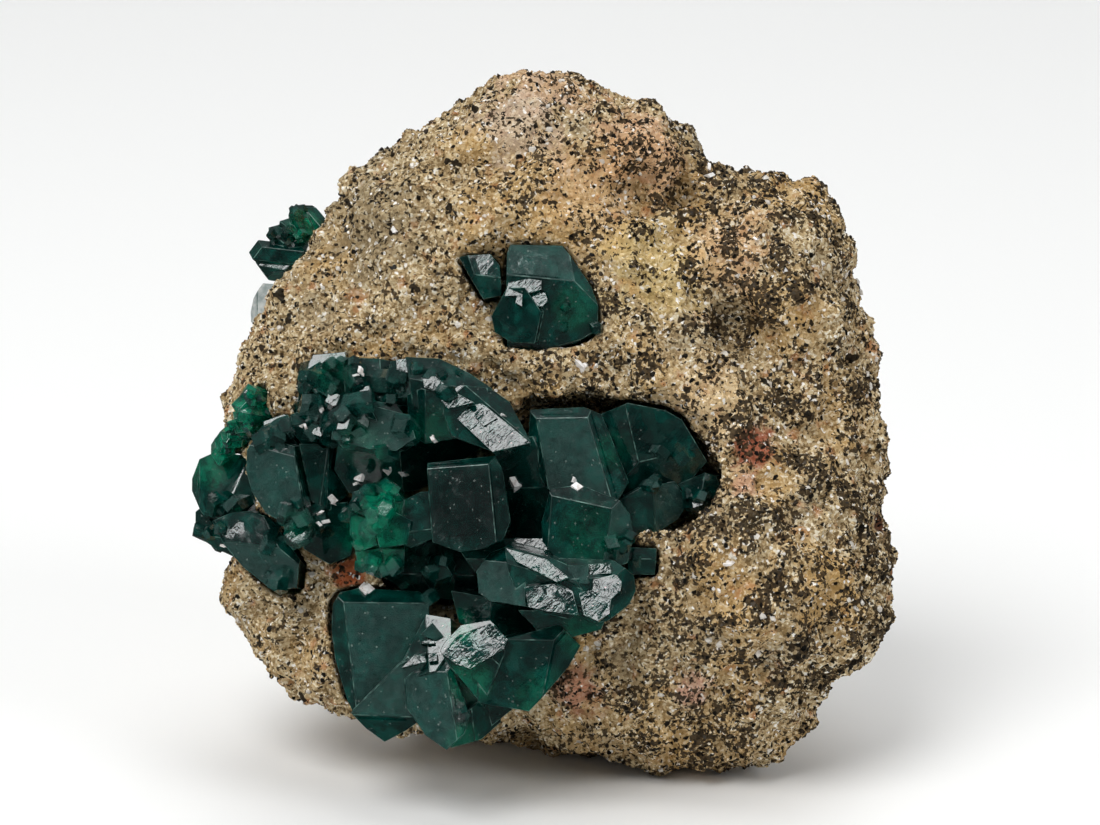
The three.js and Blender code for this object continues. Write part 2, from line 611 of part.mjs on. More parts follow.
// A large crystal with a side crystal grown on it, and a small one apart from them
const topPair = [
  crystal({
    front: 13.4, look: [0, 26], depth: 9,
    outline: [[-3.7, 13.8], [-3.4, 14.7], [1.1, 14.6], [3.5, 11], [4.1, 9.1], [4, 7.2],
      [2.6, 6.4], [0.6, 5.9], [-1.6, 5.6], [-3.7, 5.9]],
    folds: [[[-3.7, 11.5], [2.6, 10.9], 38], [[1.4, 14.4], [2.9, 6.4], -34],
      [[-3.7, 7.8], [2.9, 7.3], 62]],
  }),
  crystal({
    front: 12.4, look: [-22, -6], depth: 8,
    outline: [[-3.6, 10.4], [-5.1, 8], [-4.8, 6.6], [-3.3, 5.8], [-1.2, 5.8], [-0.6, 8.4],
      [-2, 10.4]],
  }),
  crystal({
    front: 12, look: [-2, 12], depth: 8,
    outline: [[-7.7, 13.1], [-5, 13.3], [-4.2, 12.3], [-4, 9.8], [-5.6, 9.5], [-6.7, 11.3]],
    folds: [[[-6.9, 13.3], [-5.8, 10], 38], [[-7, 11.6], [-4, 11.2], 40]],
  }),
];

const paleBlade = [
  crystal({
    front: -0.8, look: [-30, 10], depth: 4,
    outline: [[-24, 10.8], [-22.4, 10.6], [-22.4, 8.4], [-24.4, 7.2], [-25.2, 7.6], [-25.3, 8.5],
      [-25, 9.6]],
    folds: [[[-24.4, 10.6], [-24.4, 7.4], 26]],
  }),
];

// A crust of small crystals strung along a curve, each one leaning its own way
const CRUST_SPREAD = [0.9, 0.5, 0.9]; // how far one may stand off the curve
const CRUST_LEAN = 0.9;
const CRUST_SIZES = { radius: 0.5, length: 0.4 }; // as shares of their usual sizes

function crust({ along, count, lean, radius, length, seed }) {
  const curve = new THREE.CatmullRomCurve3(along.map((point) => new THREE.Vector3(...point)));
  const members = [];
  for (let i = 0; i < count; i += 1) {
    const place = curve.getPoint(i / (count - 1));
    const stray = (axis) => hash(i, axis, seed) - 0.5;
    members.push(prism({
      at: place.toArray().map((part, axis) => part + CRUST_SPREAD[axis] * stray(1 + axis)),
      axis: lean.map((part, axis) => part + CRUST_LEAN * stray(4 + axis)),
      turn: 360 * stray(7),
      radius: radius * (1 + CRUST_SIZES.radius * stray(8)),
      length: length * (1 + CRUST_SIZES.length * stray(9)),
    }));
  }
  return members;
}

const druse = crust({
  along: [[-24.2, 1.6, 8], [-24.2, -0.3, 7.8], [-25.5, -1.7, 6.4], [-27.3, -3.1, 4.4]],
  count: 7,
  lean: [-0.35, 0.1, 0.9],
  radius: 0.82,
  length: 4.4,
  seed: 0,
});

const edgeCrust = crust({
  along: [[-19.4, 15.9, -1.6], [-20.6, 14.7, -2.2], [-21.8, 13.4, -1.8], [-22.7, 12.2, -2.4]],
  count: 6,
  lean: [-0.8, 0.5, -0.05],
  radius: 1.05,
  length: 5,
  seed: 3,
});

// Crystals that grew into each other are one solid.
const GREEN = 0x0b473f;
const SANDSTONE = 0x8d7350;
const glassy = { roughness: 0.15, metalness: 0 };
const earthy = { roughness: 0.95, metalness: 0 };
const clusters = {
  crystals_main: {
    members: [...upperCluster, ...centreCluster, ...vugCluster, ...lowerCluster],
    colour: GREEN,
  },
  crystals_left: { members: leftCluster, colour: GREEN },
  crystals_left_edge: { members: leftEdge, colour: GREEN },
  crystal_top_large: { members: topPair.slice(0, 2), colour: GREEN },
  crystal_top_small: { members: topPair.slice(2), colour: GREEN },
  crystals_edge: { members: edgeCrust, colour: 0x0f6a55 },
  druse_band: { members: druse, colour: 0x128f6c },
  pale_blade: { members: paleBlade, colour: 0x7d9492 },
};

// Each cluster keeps clear of the ones already placed, and the block of them all.

const face = new THREE.Group();
face.applyMatrix4(leanTurn);

function addNode(name, solid, look) {
  const { vertProperties, triVerts } = solid.getMesh();
  const geometry = new THREE.BufferGeometry();
  geometry.setAttribute('position', new THREE.BufferAttribute(vertProperties, 3));
  geometry.setIndex(new THREE.BufferAttribute(triVerts, 1));
  geometry.computeVertexNormals();
  const mesh = new THREE.Mesh(geometry, new THREE.MeshStandardMaterial(look));
  mesh.name = name;
  face.add(mesh);
}

let block = blockSolid();
vug.forEach((hollow) => {
  block = block.subtract(scoop(hollow));
});
block = block.subtract(underFloor());

let taken = null;
for (const [name, { members, colour }] of Object.entries(clusters)) {
  const roomy = joined(members, SOCKET_GAP);
  const solid = taken ? joined(members).subtract(taken) : joined(members);
  addNode(name, solid, { color: colour, ...glassy });
  taken = taken ? taken.add(roomy) : roomy;
}
block = block.subtract(taken);
addNode('matrix', block, { color: SANDSTONE, ...earthy });

// The origin goes to the middle of the footprint.
const bounds = new THREE.Box3().setFromObject(face, true);
face.position.set(
  -(bounds.min.x + bounds.max.x) / 2,
  -(bounds.min.y + bounds.max.y) / 2,
  -bounds.min.z,
);

const specimen = new THREE.Group();
specimen.add(face);

export default specimen;
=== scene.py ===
# A dioptase specimen: clusters of dark green crystals grown on a rough block of tan
# sandstone. Metres, +Z up, in the part's own frame.

import math
import random

import bpy
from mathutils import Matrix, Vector


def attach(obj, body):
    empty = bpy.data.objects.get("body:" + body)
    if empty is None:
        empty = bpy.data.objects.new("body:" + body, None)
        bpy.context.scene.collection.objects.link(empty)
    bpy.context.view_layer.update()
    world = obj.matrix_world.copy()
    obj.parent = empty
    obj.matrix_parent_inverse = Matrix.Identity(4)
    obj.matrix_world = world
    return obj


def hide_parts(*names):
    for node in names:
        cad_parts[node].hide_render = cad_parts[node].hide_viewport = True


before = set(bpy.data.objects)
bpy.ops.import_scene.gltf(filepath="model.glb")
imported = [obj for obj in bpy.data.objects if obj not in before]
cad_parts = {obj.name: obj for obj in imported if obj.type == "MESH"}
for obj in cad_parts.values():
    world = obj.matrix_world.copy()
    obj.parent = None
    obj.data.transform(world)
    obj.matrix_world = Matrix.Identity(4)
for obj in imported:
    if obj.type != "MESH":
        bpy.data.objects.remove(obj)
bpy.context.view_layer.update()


# The camera. It stands square in front of the block's good face, which leans back, and
# a little above the block. The face has a frame of its own, in millimetres: u to the
# right, v up the face and w straight out of it.

MM = 0.001
LEAN = math.radians(15)
FACE_ORIGIN = Vector((0.473, 0.750, 28.9)) * MM
FACE_RIGHT = Vector((1, 0, 0))
FACE_UP = Vector((0, math.sin(LEAN), math.cos(LEAN)))
FACE_OUT = Vector((0, -math.cos(LEAN), math.sin(LEAN)))
EYE_DISTANCE = 360
SENSOR_WIDTH = 36
LENS = 141.4


def face_direction(u, v, w):
    return u * FACE_RIGHT + v * FACE_UP + w * FACE_OUT


def on_face(u, v, w):
    return FACE_ORIGIN + face_direction(u, v, w) * MM


EYE = on_face(0, 0, EYE_DISTANCE)

bpy.ops.object.camera_add(location=EYE, rotation=(math.pi / 2 - LEAN, 0, 0))
camera = bpy.context.object
camera.data.sensor_width = SENSOR_WIDTH
camera.data.lens = LENS
camera.data.clip_start = 10 * MM
bpy.context.scene.camera = camera
bpy.context.scene.view_settings.view_transform = "Standard"


# The studio: a pale floor, a broad soft light above and in front, and weaker ones at the
# sides and back. Floor and room are pale, but dim in mirrors, so the crystals stay dark.

FLOOR_WIDTH = 6
FLOOR_WHITE = (0.96, 0.965, 0.955, 1)
MIRRORED_FLOOR = (0.06, 0.068, 0.064, 1)
ROOM_WHITE = (0.97, 0.98, 1, 1)
ROOM_SEEN = 1.0
ROOM_FILL = 0.2
MIRRORED_HORIZON = 0.04
MIRRORED_CEILING = 0.26


def add_node(tree, kind, inputs=None, **settings):
    """One node of a material or shape, with its settings and what feeds its inputs."""
    node = tree.nodes.new(kind)
    for name, value in settings.items():
        setattr(node, name, value)
    for socket, value in (inputs or {}).items():
        if isinstance(value, bpy.types.NodeSocket):
            tree.links.new(value, node.inputs[socket])
        else:
            node.inputs[socket].default_value = value
    return node


def math_node(tree, operation, first, second=0.0, third=0.0):
    inputs = {0: first, 1: second, 2: third}
    return add_node(tree, "ShaderNodeMath", inputs, operation=operation).outputs[0]


def ramp_up(tree, value, low, high, to_low=0.0, to_high=1.0):
    """Rises smoothly from to_low to to_high while the value goes from low to high."""
    inputs = {"Value": value, "From Min": low, "From Max": high, "To Min": to_low, "To Max": to_high}
    return add_node(tree, "ShaderNodeMapRange", inputs, interpolation_type="SMOOTHSTEP").outputs[0]


def mix_colour(tree, share, first, second):
    inputs = {0: share, 6: first, 7: second}
    return add_node(tree, "ShaderNodeMix", inputs, data_type="RGBA").outputs[2]


def new_material(name):
    material = bpy.data.materials.new(name)
    material.use_nodes = True
    material.node_tree.nodes.clear()
    return material, material.node_tree


def add_surface(tree, inputs):
    """The surface of a material that has no more to it, and the material's output."""
    body = add_node(tree, "ShaderNodeBsdfPrincipled", inputs)
    add_node(tree, "ShaderNodeOutputMaterial", {"Surface": body.outputs[0]})


bpy.ops.mesh.primitive_plane_add(size=FLOOR_WIDTH)
floor = bpy.context.object
floor.name = "floor"
floor_paint, tree = new_material("floor_paint")
mirrored = add_node(tree, "ShaderNodeLightPath").outputs["Is Glossy Ray"]
shade = mix_colour(tree, mirrored, FLOOR_WHITE, MIRRORED_FLOOR)
add_surface(tree, {"Base Color": shade, "Roughness": 0.7})
floor.data.materials.append(floor_paint)

room = bpy.data.worlds.new("room")
room.use_nodes = True
tree = room.node_tree
tree.nodes.clear()
paths = add_node(tree, "ShaderNodeLightPath")
direction = add_node(tree, "ShaderNodeTexCoord").outputs["Generated"]
upwards = add_node(tree, "ShaderNodeSeparateXYZ", {0: direction}).outputs[2]
seen = paths.outputs["Is Camera Ray"]
mirrored = paths.outputs["Is Glossy Ray"]
ceiling = ramp_up(tree, upwards, 0, 0.9, MIRRORED_HORIZON - ROOM_FILL, MIRRORED_CEILING - ROOM_FILL)
strength = math_node(tree, "MULTIPLY_ADD", seen, ROOM_SEEN - ROOM_FILL, ROOM_FILL)
strength = math_node(tree, "MULTIPLY_ADD", mirrored, ceiling, strength)
glow = add_node(tree, "ShaderNodeBackground", {"Color": ROOM_WHITE, "Strength": strength})
add_node(tree, "ShaderNodeOutputWorld", {"Surface": glow.outputs["Background"]})
bpy.context.scene.world = room


def add_lamp(name, place, width, power):
    aim = FACE_ORIGIN - Vector(place)
    turn = aim.to_track_quat("-Z", "Y").to_euler()
    bpy.ops.object.light_add(type="AREA", location=place, rotation=turn)
    lamp = bpy.context.object
    lamp.name = name
    lamp.data.shape = "DISK"
    lamp.data.size = width
    lamp.data.energy = power
    lamp.visible_glossy = name == "key_light"


add_lamp("key_light", (-0.33, -0.52, 0.82), 0.6, 6.3)
add_lamp("top_light", (0.1, 0.15, 1.1), 0.9, 4.5)
add_lamp("right_light", (0.8, -0.6, 0.6), 0.5, 3.0)
add_lamp("left_light", (-0.95, -0.2, 0.4), 0.5, 1.1)
add_lamp("back_light", (0.0, 0.9, 0.5), 0.6, 1.2)


# The sandstone: one block of loosely cemented sand grains, broken off all round. The
# block carries the lumps and pits, and the grains on its surface are pieces below.

MERGE = 0.001 * MM
STONE_VOXEL = 0.38 * MM
CRYSTAL_NODES = [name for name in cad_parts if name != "matrix"]
# How near a crystal the relief is least, how far from one it's whole, and the least share
CALM_WITHIN = 0.25 * MM
ROUGH_BEYOND = 1.8 * MM
LEAST_RELIEF = 0.12


def work_on(piece):
    bpy.ops.object.select_all(action="DESELECT")
    piece.select_set(True)
    bpy.context.view_layer.objects.active = piece


def solid_copy(node, name):
    """A merged copy of a CAD node's mesh, in the same place."""
    piece = bpy.data.objects.new(name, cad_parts[node].data.copy())
    bpy.context.collection.objects.link(piece)
    piece.data.materials.clear()
    work_on(piece)
    bpy.ops.mesh.customdata_custom_splitnormals_clear()
    bpy.ops.object.mode_set(mode="EDIT")
    bpy.ops.mesh.select_all(action="SELECT")
    bpy.ops.mesh.remove_doubles(threshold=MERGE)
    bpy.ops.object.mode_set(mode="OBJECT")
    return piece


def new_shape_tree(name):
    tree = bpy.data.node_groups.new(name, "GeometryNodeTree")
    tree.interface.new_socket("Geometry", in_out="INPUT", socket_type="NodeSocketGeometry")
    tree.interface.new_socket("Geometry", in_out="OUTPUT", socket_type="NodeSocketGeometry")
    start = add_node(tree, "NodeGroupInput")
    return tree, start.outputs["Geometry"]


def apply_shape_tree(piece, tree):
    work_on(piece)
    modifier = piece.modifiers.new(tree.name, "NODES")
    modifier.node_group = tree
    bpy.ops.object.modifier_apply(modifier=modifier.name)


def noise_height(tree, place, size, detail=2.0, roughness=0.5, distortion=0.0):
    """Noise from 0 to 1 whose features are about size across."""
    inputs = {
        "Vector": place, "Scale": 1 / size, "Detail": detail,
        "Roughness": roughness, "Distortion": distortion,
    }
    return add_node(tree, "ShaderNodeTexNoise", inputs).outputs[0]


def cell_distance(tree, place, size):
    inputs = {"Vector": place, "Scale": 1 / size}
    return add_node(tree, "ShaderNodeTexVoronoi", inputs).outputs["Distance"]


def cell_chances(tree, place, size):
    """Three random values from 0 to 1 for each cell of about the given size."""
    cells = add_node(tree, "ShaderNodeTexVoronoi", {"Vector": place, "Scale": 1 / size})
    return add_node(tree, "ShaderNodeSeparateColor", {0: cells.outputs["Color"]}).outputs


def distance_between(tree, first, second):
    inputs = {0: first, 1: second}
    return add_node(tree, "ShaderNodeVectorMath", inputs, operation="DISTANCE").outputs["Value"]


def crystal_distance(tree):
    """How far a point of the stone is from the nearest crystal."""
    crystals = add_node(tree, "GeometryNodeJoinGeometry")
    for node in CRYSTAL_NODES:
        source = add_node(tree, "GeometryNodeObjectInfo", {"Object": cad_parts[node]})
        tree.links.new(source.outputs["Geometry"], crystals.inputs[0])
    near = add_node(tree, "GeometryNodeProximity", {0: crystals.outputs[0]}, target_element="FACES")
    return near.outputs["Distance"]


stone = solid_copy("matrix", "sandstone")
remesh = stone.modifiers.new("remesh", "REMESH")
remesh.mode = "VOXEL"
remesh.voxel_size = STONE_VOXEL
bpy.ops.object.modifier_apply(modifier=remesh.name)


def sight_to(u, v):
    """The way from the camera to u, v of the good face."""
    return (on_face(u, v, 0) - EYE).normalized()


def seen_at(piece, u, v):
    """The place on a piece that is seen at u, v of the good face, or the nearest one."""
    hit, point, _, _ = piece.ray_cast(EYE, sight_to(u, v))
    return point if hit else piece.closest_point_on_mesh(on_face(u, v, 0))[1]


# Lumps and hollows: where each is seen on the good face, its radius, and its height
LUMPS = [
    ((9.5, 22.0), 3.4, 1.0), ((10.4, 18.0), 2.0, -1.3), ((14.4, 20.4), 2.4, -2.0),
    ((5.4, 9.0), 1.8, -1.1), ((16.0, 6.9), 3.0, -1.5), ((15.6, -3.5), 1.0, -0.9),
    ((7.0, 13.4), 3.4, 0.9), ((13.4, 13.2), 3.0, 0.9), ((22.0, 2.0), 3.0, 0.9),
    ((20.6, -4.0), 2.0, -1.0), ((23.0, -9.0), 2.6, 0.8), ((13.0, -12.0), 2.6, 0.8),
    ((10.4, -17.0), 2.2, -0.9), ((17.0, -17.0), 3.2, 0.9), ((-6.0, 15.0), 3.2, 0.8),
    ((-11.4, 10.0), 2.6, 0.8), ((-8.4, 20.0), 2.2, -0.8), ((-21.0, -17.0), 2.4, 0.7),
]

tree, shape = new_shape_tree("stone_relief")
place = add_node(tree, "GeometryNodeInputPosition").outputs[0]
normal = add_node(tree, "GeometryNodeInputNormal").outputs[0]
# Each relief: its value at a place, the value that leaves the stone as it is, and its reach
reliefs = [
    (noise_height(tree, place, 7 * MM, detail=4, roughness=0.6), 0.5, 4.6 * MM),
    (noise_height(tree, place, 2.8 * MM, detail=3, roughness=0.6), 0.5, 3.3 * MM),
    (noise_height(tree, place, 1.1 * MM, detail=2, roughness=0.6), 0.5, 1.0 * MM),
    (cell_distance(tree, place, 3.4 * MM), 0.4, -1.0 * MM),
]
for (u, v), radius, rise in LUMPS:
    away = distance_between(tree, place, seen_at(stone, u, v))
    reliefs.append((ramp_up(tree, away, radius * MM, 0), 0, rise * MM))
height = None
for value, middle, reach in reliefs:
    part = math_node(tree, "MULTIPLY", math_node(tree, "SUBTRACT", value, middle), reach)
    height = math_node(tree, "ADD", height, part) if height else part
free = ramp_up(tree, crystal_distance(tree), CALM_WITHIN, ROUGH_BEYOND, LEAST_RELIEF)
height = math_node(tree, "MULTIPLY", height, free)
offset = add_node(tree, "ShaderNodeVectorMath", {0: normal, "Scale": height}, operation="SCALE")
moved = add_node(tree, "GeometryNodeSetPosition", {"Geometry": shape, "Offset": offset.outputs[0]})
place = add_node(tree, "GeometryNodeInputPosition").outputs[0]
split = add_node(tree, "ShaderNodeSeparateXYZ", {0: place})
lifted = math_node(tree, "MAXIMUM", split.outputs[2], 0.0)
rest = add_node(tree, "ShaderNodeCombineXYZ", {0: split.outputs[0], 1: split.outputs[1], 2: lifted})
flat = add_node(
    tree, "GeometryNodeSetPosition",
    {"Geometry": moved.outputs[0], "Position": rest.outputs[0]},
)
add_node(tree, "NodeGroupOutput", {0: flat.outputs[0]})
apply_shape_tree(stone, tree)
bpy.ops.object.shade_smooth()


def tint(red, green, blue):
    """A colour from its 0 to 255 screen values."""
    linear = [((c / 255 + 0.055) / 1.055) ** 2.4 if c > 10 else c / 3294.6 for c in (red, green, blue)]
    return (*linear, 1)


# Stains in the stone, and one painted shade in a hollow: where each is seen on the good
# face, its radius, colour and strength
STAINS_AND_SHADE = [
    ((8.4, 22.7), 5.6, tint(232, 184, 152), 0.42),
    ((0, 27), 4.5, tint(226, 182, 144), 0.45),
    ((3.6, 18.6), 4.6, tint(228, 184, 130), 0.42),
    ((9.0, 12.3), 4.8, tint(226, 198, 128), 0.42),
    ((14.8, 13.8), 3.8, tint(232, 184, 138), 0.38),
    ((13.6, 1.0), 4.0, tint(236, 204, 156), 0.5),
    ((-1.6, 8.8), 3.6, tint(210, 190, 106), 0.5),
    ((17.2, -2.9), 2.1, tint(160, 80, 60), 0.85),
    ((16.2, -5.8), 1.6, tint(214, 164, 138), 0.6),
    ((22.9, -14.8), 4.2, tint(206, 164, 96), 0.5),
    ((27.5, -19.8), 3.4, tint(112, 100, 88), 0.8),
    ((29.2, -13.3), 1.8, tint(146, 94, 64), 0.8),
    ((27.5, -9.4), 1.1, tint(84, 38, 28), 0.9),
    ((12.1, -23.3), 1.6, tint(210, 160, 142), 0.6),
    ((2.5, -23.1), 2.6, tint(178, 112, 94), 0.6),
    ((-15.4, 15.6), 5.5, tint(140, 126, 98), 0.55),
    # Painted shade, darkening the hollow at 16, 6.9
    ((16, 6.9), 3.4, tint(98, 90, 70), 0.25),
    ((-17, -13.3), 1.3, tint(184, 92, 50), 0.9),
    ((-9, -15), 1.6, tint(104, 54, 38), 0.85),
    ((-2.8, 25), 4.4, tint(214, 196, 182), 0.4),
]
GROUND = [
    (0.0, tint(70, 55, 36)), (0.25, tint(128, 106, 72)), (0.5, tint(180, 156, 116)),
    (0.75, tint(216, 197, 158)), (1.0, tint(252, 248, 232)),
]
OCHRE = tint(206, 164, 98)
FADED = tint(142, 130, 106)
RUST = tint(190, 120, 72)
QUARTZ_WHITE = tint(250, 246, 238)
SHADED = tint(70, 54, 34)
OXIDE_BLACK = tint(20, 18, 14)
OXIDE_GREY = tint(74, 60, 42)
GROUND_CELL = 0.24 * MM
TONE_CELL = 0.4 * MM
STONE_GLOSS = 0.15


def colour_ramp(tree, value, stops):
    ramp = add_node(tree, "ShaderNodeValToRGB", {0: value})
    while len(ramp.color_ramp.elements) < len(stops):
        ramp.color_ramp.elements.new(1)
    for element, (position, colour) in zip(ramp.color_ramp.elements, stops):
        element.position = position
        element.color = colour
    return ramp.outputs["Color"]


def oxide_share(tree, place):
    """How much of the surface is black oxide: in drifts, and more on the right."""
    across = add_node(tree, "ShaderNodeSeparateXYZ", {0: place}).outputs[0]
    side = ramp_up(tree, across, -10 * MM, 16 * MM, 0.2, 0.46)
    drift = noise_height(tree, place, 2.8 * MM, detail=3)
    return math_node(tree, "MULTIPLY", side, ramp_up(tree, drift, 0.36, 0.66, 0.1, 1.9))


# The colour of the sandstone at a place: every small cell of it has its own tone, under the
# broad drift of the ground, the stains and one painted shade, and black oxide fills some cells.
ground = bpy.data.node_groups.new("sandstone_colour", "ShaderNodeTree")
ground.interface.new_socket("Place", in_out="INPUT", socket_type="NodeSocketVector")
ground.interface.new_socket("Tone", in_out="INPUT", socket_type="NodeSocketFloat")
ground.interface.new_socket("Colour", in_out="OUTPUT", socket_type="NodeSocketColor")
given = add_node(ground, "NodeGroupInput")
place = given.outputs["Place"]
fine = cell_chances(ground, place, GROUND_CELL)
tone = math_node(ground, "MULTIPLY_ADD", given.outputs["Tone"], 0.45, 0.05)
tone = math_node(ground, "MULTIPLY_ADD", fine[0], 0.55, tone)
colour = colour_ramp(ground, tone, GROUND)
drift = noise_height(ground, place, 9 * MM, detail=2)
colour = mix_colour(ground, ramp_up(ground, drift, 0.45, 0.7, 0, 0.45), colour, OCHRE)
fade = noise_height(ground, place, 6 * MM, detail=3)
colour = mix_colour(ground, ramp_up(ground, fade, 0.52, 0.75, 0, 0.5), colour, FADED)
rust = noise_height(ground, place, 1.6 * MM, detail=3)
colour = mix_colour(ground, ramp_up(ground, rust, 0.58, 0.72, 0, 0.5), colour, RUST)
ragged = noise_height(ground, place, 2.2 * MM, detail=6, roughness=0.7)
edge = math_node(ground, "MULTIPLY_ADD", ragged, 3.2, -1.6)
for (u, v), radius, shade, strength in STAINS_AND_SHADE:
    away = distance_between(ground, place, seen_at(stone, u, v))
    reach = math_node(ground, "MULTIPLY_ADD", away, 1 / (radius * MM), edge)
    mask = ramp_up(ground, reach, 1.2, 0.5, 0, strength)
    colour = mix_colour(ground, mask, colour, shade)
quartz = ramp_up(ground, fine[1], 0.968, 0.973)
colour = mix_colour(ground, quartz, colour, QUARTZ_WHITE)
speck = noise_height(ground, place, 0.4 * MM, detail=2, roughness=0.6)
crowding = math_node(ground, "MULTIPLY_ADD", oxide_share(ground, place), 0.24, speck)
oxide = mix_colour(ground, fine[2], OXIDE_BLACK, OXIDE_GREY)
colour = mix_colour(ground, ramp_up(ground, crowding, 0.632, 0.655, 0, 0.95), colour, oxide)
blotch = noise_height(ground, place, 1.7 * MM, detail=2, roughness=0.6)
colour = mix_colour(ground, ramp_up(ground, blotch, 0.675, 0.685, 0, 0.97), colour, OXIDE_BLACK)
add_node(ground, "NodeGroupOutput", {"Colour": colour})


def sandstone_material(name, tone_source, painted_shade_share):
    """The stone's finish. A grain brings its own tone, and the ground has one for each cell.
    The last share darkens it towards SHADED, as painted shade between the grains.
    """
    material, tree = new_material(name)
    place = add_node(tree, "ShaderNodeTexCoord").outputs["Object"]
    if tone_source == "grain":
        tone = add_node(tree, "ShaderNodeAttribute", attribute_name="tone").outputs["Fac"]
    else:
        tone = cell_chances(tree, place, TONE_CELL)[0]
    look = add_node(tree, "ShaderNodeGroup", node_tree=ground)
    tree.links.new(place, look.inputs["Place"])
    tree.links.new(tone, look.inputs["Tone"])
    # Painted shade: the ground seen between the grains is darkened towards SHADED
    base = mix_colour(tree, painted_shade_share, look.outputs["Colour"], SHADED)
    pits = noise_height(tree, place, 0.14 * MM, detail=2)
    bump = add_node(tree, "ShaderNodeBump", {"Height": pits, "Distance": 0.06 * MM, "Strength": 0.8})
    add_surface(tree, {
        "Base Color": base, "Roughness": 0.8, "Specular IOR Level": STONE_GLOSS,
        "Normal": bump.outputs[0],
    })
    return material


stone.data.materials.append(sandstone_material("sandstone", "ground", 0.2))
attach(stone, "root")
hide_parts("matrix")


# The sand grains on the surface: tan feldspar and quartz, with black iron and manganese
# oxide grains between them. Each kind is joined into one piece or a few.

GRAIN_FORMS = 6
# A form before it's scaled to a grain's size: its radius, and how far its corners stray
FORM_RADIUS = 0.6
FORM_STRAY = 0.18
# How far from a crystal the grains begin and are thickest, and how far off the floor
CLEAR_OF_CRYSTALS = (0.3 * MM, 0.42 * MM)
CLEAR_OF_FLOOR = 0.6 * MM
# The smallest and largest grain, as shares of the usual size
SIZE_RANGE = (0.65, 1.35)
TAN_PIECES = 5
TAN_SPACING = 0.7 * MM
OXIDE_SPACING = 0.44 * MM
GRAIN_SIZE = 0.4 * MM
QUARTZ_SPACING = 0.8 * MM
QUARTZ_SIZE = 0.5 * MM
QUARTZ_IOR = 1.54


def grain_forms():
    """A few angular chips to choose from, in a collection of their own."""
    forms = bpy.data.collections.new("grain_forms")
    for number in range(GRAIN_FORMS):
        bpy.ops.mesh.primitive_uv_sphere_add(segments=3 + number % 3, ring_count=2, radius=FORM_RADIUS)
        form = bpy.context.object
        bpy.ops.object.mode_set(mode="EDIT")
        bpy.ops.mesh.select_all(action="SELECT")
        bpy.ops.transform.vertex_random(offset=FORM_STRAY, uniform=0.0, normal=0.0, seed=number)
        bpy.ops.object.mode_set(mode="OBJECT")
        bpy.context.collection.objects.unlink(form)
        forms.objects.link(form)
    return forms


forms = grain_forms()


def scatter_grains(name, spacing, size, seed, share, sink=0.34):
    """Grains of one kind all over the stone. share gives how thickly they lie, and sink
    how deep they sit, as a share of their size."""
    piece = bpy.data.objects.new(name, stone.data.copy())
    bpy.context.collection.objects.link(piece)
    piece.data.materials.clear()
    tree, shape = new_shape_tree(name + "_scatter")
    place = add_node(tree, "GeometryNodeInputPosition").outputs[0]
    open_air = ramp_up(tree, crystal_distance(tree), *CLEAR_OF_CRYSTALS)
    height = add_node(tree, "ShaderNodeSeparateXYZ", {0: place}).outputs[2]
    off_floor = math_node(tree, "GREATER_THAN", height, CLEAR_OF_FLOOR)
    thickness = math_node(tree, "MULTIPLY", open_air, off_floor)
    thickness = math_node(tree, "MULTIPLY", thickness, share(tree, place))
    spots = add_node(
        tree, "GeometryNodeDistributePointsOnFaces",
        {"Mesh": shape, "Distance Min": spacing, "Density Max": 4 / spacing**2,
         "Density Factor": thickness, "Seed": seed},
        distribute_method="POISSON",
    )
    chance = add_node(tree, "FunctionNodeRandomValue", {"Seed": seed + 1}, data_type="FLOAT")
    named = add_node(
        tree, "GeometryNodeStoreNamedAttribute",
        {"Geometry": spots.outputs["Points"], "Name": "tone", "Value": chance.outputs[1]},
        data_type="FLOAT", domain="POINT",
    )
    down = add_node(
        tree, "ShaderNodeVectorMath", {0: spots.outputs["Normal"], "Scale": -sink * size},
        operation="SCALE",
    )
    sunk = add_node(
        tree, "GeometryNodeSetPosition",
        {"Geometry": named.outputs[0], "Offset": down.outputs[0]},
    )
    source = add_node(
        tree, "GeometryNodeCollectionInfo",
        {"Collection": forms, "Separate Children": True, "Reset Children": True},
    )
    turn = add_node(
        tree, "FunctionNodeRandomValue",
        {0: (0, 0, 0), 1: (2 * math.pi,) * 3, "Seed": seed + 2}, data_type="FLOAT_VECTOR",
    )
    smallest, largest = ((share_of_size * size,) * 3 for share_of_size in SIZE_RANGE)
    stretch = add_node(
        tree, "FunctionNodeRandomValue",
        {0: smallest, 1: largest, "Seed": seed + 3}, data_type="FLOAT_VECTOR",
    )
    placed = add_node(
        tree, "GeometryNodeInstanceOnPoints",
        {"Points": sunk.outputs[0], "Instance": source.outputs[0], "Pick Instance": True,
         "Rotation": turn.outputs[0], "Scale": stretch.outputs[0]},
    )
    solid = add_node(tree, "GeometryNodeRealizeInstances", {0: placed.outputs[0]})
    add_node(tree, "NodeGroupOutput", {0: solid.outputs[0]})
    apply_shape_tree(piece, tree)
    piece.data.materials.clear()
    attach(piece, "root")
    return piece


def everywhere(tree, place):
    return 1.0


def oxide_drifts(tree, place):
    return math_node(tree, "MULTIPLY", oxide_share(tree, place), 0.9)


def quartz_drifts(tree, place):
    drift = noise_height(tree, place, 4 * MM, detail=2)
    return ramp_up(tree, drift, 0.52, 0.72, 0.008, 0.4)


tan = sandstone_material("sand_grains", "grain", 0.0)
for number in range(TAN_PIECES):
    name = f"tan_grains_{number + 1}"
    grains = scatter_grains(name, TAN_SPACING, GRAIN_SIZE, 10 * number, everywhere)
    grains.data.materials.append(tan)

